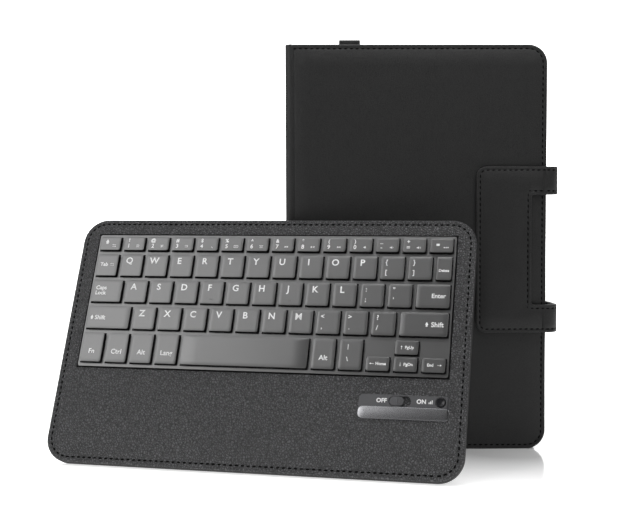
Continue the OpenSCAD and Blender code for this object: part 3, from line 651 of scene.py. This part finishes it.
def panelLeather(name, y0, y1, rollY, facing, cutouts, node):
    bm = bmesh.new()
    flatOutline(bm, [(-panelHalf, 0), (panelHalf, 0), (panelHalf, panelDepth), (-panelHalf, panelDepth)])
    roundCorners(bm, lambda p: True, panel["cornerRadius"], 16)
    thicken(bm, y0, y1 - y0)
    rollRim(bm, rollY, panel["roll"], 4)
    seamChannel(bm, facing, panel["seamIn"] - panel["roll"] - panel["channel"] / 2, panel["channel"],
                panel["channelDepth"])
    for x0, x1, z0, z1 in cutouts:
        for co, no in (((x0, 0, 0), (1, 0, 0)), ((x1, 0, 0), (1, 0, 0)), ((0, 0, z0), (0, 0, 1)),
                       ((0, 0, z1), (0, 0, 1))):
            cutThrough(bm, Vector(co) * mm, no)
    bm.normal_update()
    for x0, x1, z0, z1 in cutouts:
        hole = [f for f in bm.faces if f.normal.dot(Vector(facing)) > 0.99
                and x0 < f.calc_center_median().x / mm < x1 and z0 < f.calc_center_median().z / mm < z1]
        bmesh.ops.inset_region(bm, faces=hole, thickness=0.12 * mm, depth=0, use_even_offset=True)
        bmesh.ops.inset_region(bm, faces=hole, thickness=0.01 * mm, depth=-panel["wall"] * mm, use_even_offset=True)
    # the rolled sides and the hole walls get painted shade
    paintSideShade(bm)
    piece = addPiece(bm, name, ["grainedLeather", "edgeDye"], "keyboard", onPanel, 40)
    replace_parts(piece, node)
    seams = bmesh.new()
    s, c = panel["seamIn"], panel["cornerRadius"]
    h, d, r = panelHalf, panelDepth, c - s
    path = (arc(h - c, c, r, -90, 0) + arc(h - c, d - c, r, 0, 90) + arc(c - h, d - c, r, 90, 180)
            + arc(c - h, c, r, 180, 270) + [(h - c, s)])
    sewSeam(seams, flatPath(path, rollY - facing[1] * panel["channelDepth"]),
            facingFront if facing[1] < 0 else facingBack, 1.15)
    addPiece(seams, name + "Seam", ["sewingThread"], "keyboard", onPanel, 60)


deckSpots = panelBox("support_plate")
plateSpots = panelBox("control_plate")
g = panel["groove"]
panelLeather("panelFrontLeather", 0, seamY, 0, (0, -1, 0),
             [(deckSpots[0][0] - g, deckSpots[0][1] + g, deckSpots[2][0] - g, deckSpots[2][1] + g),
              (plateSpots[0][0] + g, plateSpots[0][1] - g, plateSpots[2][0] + g, plateSpots[2][1] - g)],
             "panel_front_skin")
panelLeather("panelBackLeather", seamY, panelThick, panelThick, (0, 1, 0), [], "panel_back_skin")
print("panel leather made")

keyShape = {"cornerRadius": 0.9, "topEdge": 0.18, "dish": 0.035, "skirt": 2.3}


# Boxes of the separate keys in one node, left to right
def keyBoxes(node):
    bm = bmesh.new()
    bm.from_mesh(nodes[node].data)
    bmesh.ops.remove_doubles(bm, verts=bm.verts, dist=1e-6)
    bmesh.ops.transform(bm, matrix=onPanel.inverted(), verts=bm.verts)
    unseen, found = set(bm.verts), []
    while unseen:
        island, edge = set(), [unseen.pop()]
        while edge:
            v = edge.pop()
            island.add(v)
            near = {e.other_vert(v) for e in v.link_edges} & unseen
            unseen -= near
            edge.extend(near)
        capTop = min(v.co.y for v in island)
        cap = [v.co / mm for v in island if v.co.y < capTop + 1e-5]
        found.append((min(c.x for c in cap), max(c.x for c in cap), min(c.z for c in cap), max(c.z for c in cap),
                      capTop / mm))
    bm.free()
    return sorted(found)


# How deep the dished top lies at a point: 0 at the rim, 1 in the middle
def dished(p, x0, x1, z0, z1):
    across = (2 * p.x - x0 - x1) / (x1 - x0 - 2 * keyShape["topEdge"])
    upward = (2 * p.z - z0 - z1) / (z1 - z0 - 2 * keyShape["topEdge"])
    return max(0, 1 - across ** 4) * max(0, 1 - upward ** 4)


def makeKeys(node, body):
    together = bmesh.new()
    for x0, x1, z0, z1, yTop in keyBoxes(node):
        bm = bmesh.new()
        flatOutline(bm, [(x0, z0), (x1, z0), (x1, z1), (x0, z1)])
        roundCorners(bm, lambda p: True, keyShape["cornerRadius"], 4)
        thicken(bm, yTop, keyShape["skirt"])
        rollRim(bm, yTop, keyShape["topEdge"], 3)
        bm.normal_update()
        # the key tops keep the paint, the sides get painted shade
        for f in bm.faces:
            f.material_index = 0 if f.normal.y < -0.3 else 1
        edge = keyShape["topEdge"] + 0.02
        cutPatches(bm, 0, x0 + edge, x1 - edge, (x1 - x0) / 8)
        cutPatches(bm, 2, z0 + edge, z1 - edge, (z1 - z0) / 8)
        for v in bm.verts:
            if v.co.y < (yTop + 0.001) * mm:
                v.co.y += keyShape["dish"] * mm * dished(v.co / mm, x0, x1, z0, z1)
        mesh = bpy.data.meshes.new("oneKey")
        bm.to_mesh(mesh)
        bm.free()
        together.from_mesh(mesh)
        bpy.data.meshes.remove(mesh)
    piece = addPiece(together, node + "Caps", ["silverGreyPaint", "blackKeySide"], body, onPanel, 50)
    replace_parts(piece, node)


keyNodes = [n for n in nodes if n.endswith("_key") or n.endswith("_keys") or n == "space_bar"]
keyPlaces = {}
for node in keyNodes:
    keyPlaces[node] = keyBoxes(node)
    makeKeys(node, nodes[node]["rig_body"])
print("keys made:", sum(len(k) for k in keyPlaces.values()))

ink = {"thick": 0.03, "lift": 0.02, "bold": 0.075}
facingOut = Matrix(((1, 0, 0, 0), (0, 0, -1, 0), (0, 1, 0, 0), (0, 0, 0, 1)))


def addText(bm, words, x, z, y, size, align="CENTER", bold=1.0):
    curve = bpy.data.curves.new("words", "FONT")
    curve.body, curve.size, curve.align_x, curve.align_y = words, size * mm, align, "CENTER"
    curve.extrude, curve.offset, curve.resolution_u = ink["thick"] / 2 * mm, ink["bold"] * bold * mm, 3
    holder = bpy.data.objects.new("words", curve)
    bpy.context.scene.collection.objects.link(holder)
    bpy.context.view_layer.update()
    mesh = bpy.data.meshes.new_from_object(holder.evaluated_get(bpy.context.evaluated_depsgraph_get()))
    mesh.transform(Matrix.Translation((x * mm, (y - ink["lift"]) * mm, z * mm)) @ facingOut)
    bm.from_mesh(mesh)
    bpy.data.objects.remove(holder)
    bpy.data.curves.remove(curve)
    bpy.data.meshes.remove(mesh)


# Small flat marks: each is a disc, a bar, a ring or a triangle, at (x, z) in mm from the mark's middle
marks = {
    "home": [("tri", 0, 0.35, 0.95, 90), ("bar", 0, -0.45, 1.0, 0.7, 0)],
    "menu": [("bar", 0, 0.5, 1.5, 0.18, 0), ("bar", 0, 0, 1.5, 0.18, 0), ("bar", 0, -0.5, 1.5, 0.18, 0)],
    "sun": [("disc", 0, 0, 0.42)] + [("bar", 0.8 * math.cos(a * 0.785), 0.8 * math.sin(a * 0.785), 0.34, 0.14,
                                      a * 45) for a in range(8)],
    "pad": [("bar", 0, 0.4, 1.6, 0.16, 0), ("bar", 0, -0.4, 1.6, 0.16, 0), ("bar", 0.55, 0, 0.3, 0.3, 0)],
    "lens": [("ring", -0.15, 0.2, 0.6), ("bar", 0.6, -0.55, 0.9, 0.24, -45)],
    "board": [("bar", 0, 0.55, 2.0, 0.16, 0), ("bar", 0, -0.55, 2.0, 0.16, 0), ("bar", -1.0, 0, 0.16, 1.2, 0),
              ("bar", 1.0, 0, 0.16, 1.2, 0), ("bar", 0, 0.1, 1.2, 0.14, 0)],
    "letter": [("bar", 0, 0.55, 1.8, 0.14, 0), ("bar", 0, -0.55, 1.8, 0.14, 0), ("bar", -0.45, 0.1, 1.1, 0.14, -40),
               ("bar", 0.45, 0.1, 1.1, 0.14, 40)],
    "back": [("tri", 0.4, 0, 0.5, 180), ("tri", -0.4, 0, 0.5, 180), ("bar", -1.0, 0, 0.16, 0.9, 0)],
    "play": [("tri", -0.5, 0, 0.55, 0), ("bar", 0.5, 0, 0.2, 0.9, 0), ("bar", 0.9, 0, 0.2, 0.9, 0)],
    "next": [("tri", -0.4, 0, 0.5, 0), ("tri", 0.4, 0, 0.5, 0), ("bar", 1.0, 0, 0.16, 0.9, 0)],
    "mute": [("bar", 0.3, 0, 0.4, 0.5, 0), ("tri", -0.1, 0, 0.75, 180)],
    "soft": [("bar", -0.5, 0, 0.4, 0.5, 0), ("tri", 0, 0, 0.7, 180), ("bar", 0.75, 0, 0.14, 0.6, 0)],
    "loud": [("bar", -0.6, 0, 0.4, 0.5, 0), ("tri", -0.1, 0, 0.7, 180), ("bar", 0.6, 0, 0.14, 0.7, 0),
             ("bar", 0.95, 0, 0.14, 1.1, 0)],
    "lock": [("bar", 0, -0.35, 1.3, 0.95, 0), ("ring", 0, 0.3, 0.5)],
    "more": [("disc", a, 0, 0.34) for a in (-0.9, 0, 0.9)],
    "left": [("bar", 0.35, 0, 1.3, 0.2, 0), ("tri", -0.6, 0, 0.5, 180)],
    "right": [("bar", -0.35, 0, 1.3, 0.2, 0), ("tri", 0.6, 0, 0.5, 0)],
    "up": [("bar", 0, -0.35, 0.2, 1.2, 0), ("tri", 0, 0.5, 0.5, 90)],
    "down": [("bar", 0, 0.35, 0.2, 1.2, 0), ("tri", 0, -0.5, 0.5, 270)],
    "shift": [("tri", 0, 0.45, 1.0, 90), ("bar", 0, -0.5, 0.9, 0.9, 0)],
    "swap": [("bar", 0.2, 0.45, 1.5, 0.16, 0), ("tri", -0.7, 0.45, 0.35, 180), ("bar", -0.2, -0.45, 1.5, 0.16, 0),
             ("tri", 0.7, -0.45, 0.35, 0)],
    "signal": [("bar", -0.7, -0.5, 0.4, 0.8, 0), ("bar", 0, -0.25, 0.4, 1.3, 0), ("bar", 0.7, 0, 0.4, 1.8, 0)],
}


def addMark(bm, name, x, z, y, size=1.0):
    for kind, mx, mz, *rest in marks[name]:
        part = bmesh.new()
        if kind == "bar":
            bmesh.ops.create_grid(part, x_segments=1, y_segments=1, size=0.5)
            bmesh.ops.scale(part, vec=(rest[0], rest[1], 1), verts=part.verts)
            turn = rest[2]
        elif kind == "ring":
            bmesh.ops.create_circle(part, segments=16, radius=rest[0], cap_ends=True)
            hole = bmesh.ops.inset_region(part, faces=list(part.faces), thickness=0.22)["faces"]
            bmesh.ops.delete(part, geom=[f for f in part.faces if f not in hole], context="FACES")
            turn = 0
        else:
            bmesh.ops.create_circle(part, segments=12 if kind == "disc" else 3, radius=rest[0], cap_ends=True)
            turn = rest[1] - 90 if kind == "tri" else 0
        bmesh.ops.rotate(part, cent=(0, 0, 0), matrix=Matrix.Rotation(math.radians(turn), 3, "Z"), verts=part.verts)
        bmesh.ops.translate(part, vec=(mx, mz, 0), verts=part.verts)
        bmesh.ops.scale(part, vec=(size * mm, size * mm, 1), verts=part.verts)
        pullFaces(part, list(part.faces), (0, 0, ink["thick"] * mm))
        place = Matrix.Translation((x * mm, (y - ink["lift"] + ink["thick"] / 2) * mm, z * mm)) @ facingOut
        bmesh.ops.transform(part, matrix=place, verts=part.verts)
        mesh = bpy.data.meshes.new("mark")
        part.to_mesh(mesh)
        part.free()
        bm.from_mesh(mesh)
        bpy.data.meshes.remove(mesh)


# Sizes are in mm; x and z are shares of a key's width and height
numberRow = [("home", "swap"), ("1", "!", "menu"), ("2", "@", "sun"), ("3", "#", "pad"), ("4", "$", "lens"),
             ("5", "%", "board"), ("6", "^", "letter"), ("7", "&", "back"), ("8", "*", "play"),
             ("9", "(", "next"), ("0", ")", "mute"), ("-", "_", "soft"), ("=", "+", "loud"), ("lock", "more")]
letterRows = {"upper_letter_keys": "QWERTYUIOP", "middle_letter_keys": "ASDFGHJKL", "lower_letter_keys": "ZXCVBNM"}
pairRows = {"upper_letter_keys": ["{[", "}]"], "middle_letter_keys": [":;", "\"'"],
            "lower_letter_keys": ["<,", ">.", "?/"]}
letter = {"size": 5.1, "x": 0.37, "z": 0.7}
small = {"size": 2.9, "digit": 3.3, "pair": 3.6, "x": 0.23, "upper": 0.74, "lower": 0.32, "mark": 1.15}


def keyLegends(node, draw):
    bm = bmesh.new()
    for i, (x0, x1, z0, z1, yTop) in enumerate(keyPlaces[node]):
        draw(bm, i, x0, x1 - x0, z0, z1 - z0, yTop + keyShape["dish"])
    addPiece(bm, node + "Legends", ["whiteInk"], nodes[node]["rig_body"], onPanel, 30)


def drawNumbers(bm, i, x, w, z, h, y):
    row = numberRow[i]
    if len(row) == 2:
        addMark(bm, row[0], x + 0.34 * w, z + 0.6 * h, y, 1.35)
        addMark(bm, row[1], x + 0.7 * w, z + 0.34 * h, y, 1.1)
        return
    addText(bm, row[1], x + small["x"] * w, z + small["upper"] * h, y, small["size"])
    addText(bm, row[0], x + small["x"] * w, z + small["lower"] * h, y, small["digit"])
    addMark(bm, row[2], x + 0.68 * w, z + small["lower"] * h, y, small["mark"])


def drawLetters(node):
    def draw(bm, i, x, w, z, h, y):
        letters, pairs = letterRows[node], pairRows[node]
        if i < len(letters):
            addText(bm, letters[i], x + letter["x"] * w, z + letter["z"] * h, y, letter["size"], bold=1.5)
            return
        pair = pairs[i - len(letters)]
        addText(bm, pair[0], x + small["x"] * w, z + small["upper"] * h, y, small["pair"])
        addText(bm, pair[1], x + small["x"] * w, z + 0.3 * h, y, small["pair"])
    return draw


def drawWord(words, across, upward, size, align="CENTER", mark=None, markAt=0.0):
    def draw(bm, i, x, w, z, h, y):
        lines = words.split("/") if "/" in words and len(words) > 2 else [words]
        for k, line in enumerate(lines):
            step = (0.5 * (len(lines) - 1) - k) * size * 0.95
            addText(bm, line, x + across * w, z + upward * h + step, y, size, align)
        if mark:
            addMark(bm, mark, x + markAt * w, z + upward * h, y, 1.1)
    return draw


keyLegends("number_keys", drawNumbers)
for row in letterRows:
    keyLegends(row, drawLetters(row))
# Word, its place on the key, size and side it hangs from, then a mark and the mark's place
words = {
    "tab_key": ("Tab", 0.36, 0.52, 3.0, "CENTER", "swap", 0.74),
    "caps_key": ("Caps/Lock", 0.12, 0.52, 3.2, "LEFT"),
    "left_shift_key": ("Shift", 0.18, 0.48, 3.5, "LEFT", "shift", 0.11),
    "right_shift_key": ("Shift", 0.91, 0.48, 3.7, "RIGHT", "shift", 0.56),
    "enter_key": ("Enter", 0.88, 0.5, 3.4, "RIGHT"),
    "fn_key": ("Fn", 0.5, 0.36, 3.8),
    "ctrl_key": ("Ctrl", 0.5, 0.36, 3.8),
    "left_alt_key": ("Alt", 0.5, 0.36, 3.8),
    "language_key": ("Lang", 0.5, 0.36, 3.8),
    "right_alt_key": ("Alt", 0.5, 0.36, 3.8),
    "delete_key": ("Delete", 0.5, 0.4, 2.0, "CENTER"),
    "left_arrow_key": ("Home", 0.64, 0.5, 2.2, "CENTER", "left", 0.25),
    "up_arrow_key": ("PgUp", 0.62, 0.5, 2.2, "CENTER", "up", 0.28),
    "down_arrow_key": ("PgDn", 0.62, 0.5, 2.2, "CENTER", "down", 0.28),
    "right_arrow_key": ("End", 0.36, 0.5, 2.2, "CENTER", "right", 0.75),
}
for node, facts in words.items():
    keyLegends(node, drawWord(*facts))
keyLegends("backslash_key", lambda bm, i, x, w, z, h, y: (
    addText(bm, "|", x + 0.36 * w, z + 0.76 * h, y, 3.0), addText(bm, "\\", x + 0.36 * w, z + 0.34 * h, y, 3.0)))


# Homing bars on the two index-finger keys
def homingBars():
    bm = bmesh.new()
    for i in (3, 6):
        x0, x1, z0, z1, yTop = keyPlaces["middle_letter_keys"][i]
        place = (Matrix.Translation((((x0 + x1) / 2) * mm, (yTop + 0.02) * mm, (z0 + 0.2 * (z1 - z0)) * mm))
                 @ Matrix.Diagonal((2.6 * mm, 0.3 * mm, 0.6 * mm, 1)) @ Matrix.Rotation(math.pi / 2, 4, "Y"))
        bmesh.ops.create_uvsphere(bm, u_segments=12, v_segments=8, radius=0.5, matrix=place)
    addPiece(bm, "homingBars", ["silverGreyPaint"], "middle_letter_keys", onPanel, 60)


homingBars()
print("legends made")

trimBar = {"cornerRadius": 2.4, "rim": 0.12, "bow": 0.4}


# The bar is bowed a little, so that it fades from bright to dark along its length
def makeTrimBar():
    (x0, x1), (y0, y1), (z0, z1) = panelBox("trim_bar")
    bm = bmesh.new()
    flatOutline(bm, [(x0, z0), (x1, z0), (x1, z1), (x0, z1)])
    roundCorners(bm, lambda p: True, trimBar["cornerRadius"], 10)
    thicken(bm, y0, y1 - y0)
    rollRim(bm, y0, trimBar["rim"], 4)
    cutPatches(bm, 0, x0 + 2, x1 - 2, 2)
    for v in bm.verts:
        if v.co.y < (y0 + trimBar["rim"] + 0.01) * mm:
            v.co.y += trimBar["bow"] * ((2 * v.co.x / mm - x0 - x1) / (x1 - x0)) ** 2 * mm
    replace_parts(addPiece(bm, "trimBar", ["anodisedBar"], "keyboard", onPanel, 40), "trim_bar")


deck = softenedCopy("upper_housing", "keyDeck", "silverGreyPaint", 0.12)
# everything below the deck's top, the hole walls and the groove floor, gets painted shade
deck.data.materials.append(finishes["blackKeySide"])
deckTop = panelBox("upper_housing")[1][0]
toPanel = onPanel.inverted()
for face in deck.data.polygons:
    face.material_index = 0 if (toPanel @ face.center).y / mm < deckTop + 0.05 else 1
softenedCopy("control_plate", "controlPlate", "satinPlate", 0.2, 3)
makeTrimBar()
softenedCopy("power_slider", "powerKnob", "satinPlate", 0.12, 2)
for node, name, mat, width in (
        ("tablet_pocket", "tabletPocket", "mouldedTray", 0.3), ("tablet_bezel", "bezelLeather", "smoothLeather", 0.35),
        ("pocket_tongue", "tongueLeather", "smoothLeather", 0.4),
        ("pen_loop", "penLoopElastic", "knittedElastic", 0.25)):
    softenedCopy(node, name, mat, width, 3)


# "short" leaves off the hidden inner end; the steps are the dished face's rings, in mm inward and down
button = {"short": 0.5, "rim": 0.25, "steps": ((0.35, 0.0), (0.5, -0.16), (0.6, -0.12), (0.45, -0.04))}


def connectButton():
    (x0, x1), (y0, y1), (z0, z1) = panelBox("connect_button")
    r = (x1 - x0) / 2
    bm = bmesh.new()
    bmesh.ops.create_circle(bm, segments=40, radius=r * mm, cap_ends=True)
    bmesh.ops.rotate(bm, cent=(0, 0, 0), matrix=Matrix.Rotation(math.pi / 2, 3, "X"), verts=bm.verts)
    thicken(bm, y0, y1 - y0 - button["short"])
    rollRim(bm, y0, button["rim"], 3)
    bm.normal_update()
    face = largestFace(bm, (0, -1, 0))
    for ring, down in button["steps"]:
        bmesh.ops.inset_region(bm, faces=[face], thickness=ring * mm, depth=down * mm, use_even_offset=True)
    bmesh.ops.translate(bm, vec=((x0 + x1) / 2 * mm, 0, (z0 + z1) / 2 * mm), verts=bm.verts)
    piece = addPiece(bm, "connectButton", ["glossKnob"], "connect_button", onPanel, 50)
    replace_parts(piece, "connect_button")


controlInk = {"size": 3.1, "bold": 1.4, "offGap": 1.3, "onGap": 3.2, "travel": 3.4, "markGap": 2.6, "mark": 1.1}


def controlLegends():
    (knobLeft, knobRight), _, (low, high) = panelBox("power_slider")
    z, y = (low + high) / 2, plateSpots[1][0] - 0.01
    bm = bmesh.new()
    size, bold = controlInk["size"], controlInk["bold"]
    addText(bm, "OFF", knobLeft - controlInk["offGap"], z, y, size, "RIGHT", bold)
    addText(bm, "ON", knobRight + controlInk["travel"] + controlInk["onGap"], z, y, size, "LEFT", bold)
    addMark(bm, "signal", panelBox("connect_button")[0][0] - controlInk["markGap"], z, y, controlInk["mark"])
    addPiece(bm, "controlLegends", ["whiteInk"], "keyboard", onPanel, 30)


connectButton()
controlLegends()
plainNodes = {
    "front_cover_board": "pressedBoard", "back_cover_board": "pressedBoard", "spine_board": "pressedBoard",
    "flap_tab_board": "pressedBoard", "front_cover_lining": "microfibreLining",
    "back_cover_lining": "microfibreLining", "spine_lining": "microfibreLining", "catch_plate": "platedSteel",
    "dock_plates": "platedSteel", "flap_magnets": "nickelPlate", "panel_magnets": "nickelPlate",
    "lower_housing": "mouldedHousing", "support_plate": "platedSteel", "membrane": "polyesterFilm",
    "key_domes": "siliconeRubber", "circuit_board": "solderResist", "battery": "pouchFoil",
    "switch_body": "platedSteel", "charge_socket": "nickelPlate", "housing_screws": "platedSteel"}
for node, mat in plainNodes.items():
    slots = nodes[node].data.materials
    if len(slots):
        for i in range(len(slots)):
            slots[i] = finishes[mat]
    else:
        slots.append(finishes[mat])
print("controls and inner parts finished")

# Studio: strengths in watts, except the world's and the floor's
studio = {"floor": "#ffffff", "floorGlow": 0.65, "world": "#ffffff", "front": 0.05, "side": 0.25, "behind": 2.3,
          "key": 2.5, "fill": 1.9, "edge": 1.6, "high": 1.1, "top": 8}
# Painted shade on the floor round the folio's free corner, where the floor's glow is dimmed and its real reflection
# shows, in metres
floorShadeSpot = {"centre": (0.055, 0.01, 0.0), "near": 0.035, "far": 0.1}


def addFloor():
    bm = bmesh.new()
    bmesh.ops.create_grid(bm, x_segments=1, y_segments=1, size=6)
    mesh = bpy.data.meshes.new("floor")
    bm.to_mesh(mesh)
    bm.free()
    mat, tree, shader = newMaterial("paleAcrylic", {"Roughness": 0.1, "IOR": 1.8})
    spot = addNode(tree, "TexCoord").outputs["Object"]
    cloud = addNode(tree, "TexNoise", None, {"Vector": spot, "Scale": 3.0, "Detail": 2.0})
    tone = addNode(tree, "Mix", {"data_type": "RGBA"}, {
        0: cloud.outputs["Fac"], 6: toLinear("#f6f6f6"), 7: toLinear("#fafafa")})
    tree.links.new(tone.outputs[2], shader.inputs["Base Color"])
    shader.inputs["Emission Color"].default_value = toLinear(studio["floor"])
    # the glow drops to almost nothing near the folio's corner: painted shade on the floor
    away = addNode(tree, "VectorMath", {"operation": "DISTANCE"}, {0: spot, 1: floorShadeSpot["centre"]})
    glow = addNode(tree, "MapRange", None, {
        "Value": away.outputs["Value"], "From Min": floorShadeSpot["near"], "From Max": floorShadeSpot["far"],
        "To Min": 0.05, "To Max": studio["floorGlow"]})
    forward = addNode(tree, "MapRange", None, {
        "Value": addNode(tree, "SeparateXYZ", None, {"Vector": spot}).outputs["Y"],
        "From Min": -0.25, "From Max": -0.17})
    lit = addNode(tree, "Math", {"operation": "MULTIPLY"}, {
        0: glow.outputs["Result"], 1: forward.outputs["Result"]})
    tree.links.new(lit.outputs[0], shader.inputs["Emission Strength"])
    mesh.materials.append(mat)
    floor = bpy.data.objects.new("floor", mesh)
    bpy.context.scene.collection.objects.link(floor)


def addSoftbox(name, place, aim, size, power):
    light = bpy.data.lights.new(name, "AREA")
    light.shape, light.size, light.size_y, light.energy = "RECTANGLE", size[0], size[1], power
    lamp = bpy.data.objects.new(name, light)
    lamp.location = place
    lamp.rotation_mode = "QUATERNION"
    lamp.rotation_quaternion = (Vector(aim) - Vector(place)).to_track_quat("-Z", "Y")
    bpy.context.scene.collection.objects.link(lamp)


def addWorld():
    world = bpy.data.worlds.new("studio")
    bpy.context.scene.world = world
    world.use_nodes = True
    tree = world.node_tree
    facing = addNode(tree, "SeparateXYZ", None, {"Vector": addNode(tree, "TexCoord").outputs["Generated"]})
    aside = addNode(tree, "MapRange", {"interpolation_type": "SMOOTHSTEP"}, {
        "Value": facing.outputs["Y"], "From Min": -0.6, "From Max": 0.4, "To Min": studio["front"],
        "To Max": studio["side"]})
    behind = addNode(tree, "MapRange", {"interpolation_type": "SMOOTHSTEP"}, {
        "Value": facing.outputs["Y"], "From Min": 0.8, "From Max": 0.92, "To Min": aside.outputs["Result"],
        "To Max": studio["behind"]})
    shade = tree.nodes["Background"]
    shade.inputs["Color"].default_value = toLinear(studio["world"])
    tree.links.new(behind.outputs["Result"], shade.inputs["Strength"])


addFloor()
addWorld()
addSoftbox("keyLight", (-0.875, -0.6, 0.82), (-0.1, -0.06, 0.08), (0.61, 0.55), studio["key"])
addSoftbox("fillLight", (0.5, -0.6, 0.78), (0.0, 0.0, 0.2), (0.4, 0.3), studio["fill"])
addSoftbox("edgeLight", (-0.95, -0.42, 0.2), (0.0, 0.0, 0.12), (0.12, 0.5), studio["edge"])
addSoftbox("stripLight", (0.0, -0.14, 0.56), (0.0, 0.0, 0.12), (0.5, 0.1), studio["high"])
addSoftbox("topLight", (0.1, 0.35, 1.9), (0.0, 0.0, 0.0), (2.4, 2.0), studio["top"])

camera = bpy.data.cameras.new("camera")
camera.lens, camera.sensor_width, camera.sensor_fit = 66.59, 36, "HORIZONTAL"
camera.clip_start, camera.clip_end = 0.05, 20
viewer = bpy.data.objects.new("camera", camera)
viewer.location = (-0.064, -0.6632, 0.1389)
viewer.rotation_mode = "QUATERNION"
viewer.rotation_quaternion = (Vector((0.01515, 0.99853, -0.05199)).to_track_quat("-Z", "Y")
                              @ Quaternion((0, 0, 1), math.radians(-0.144)))
bpy.context.scene.collection.objects.link(viewer)
bpy.context.scene.camera = viewer
bpy.context.scene.view_settings.view_transform = "Standard"
print("studio made")
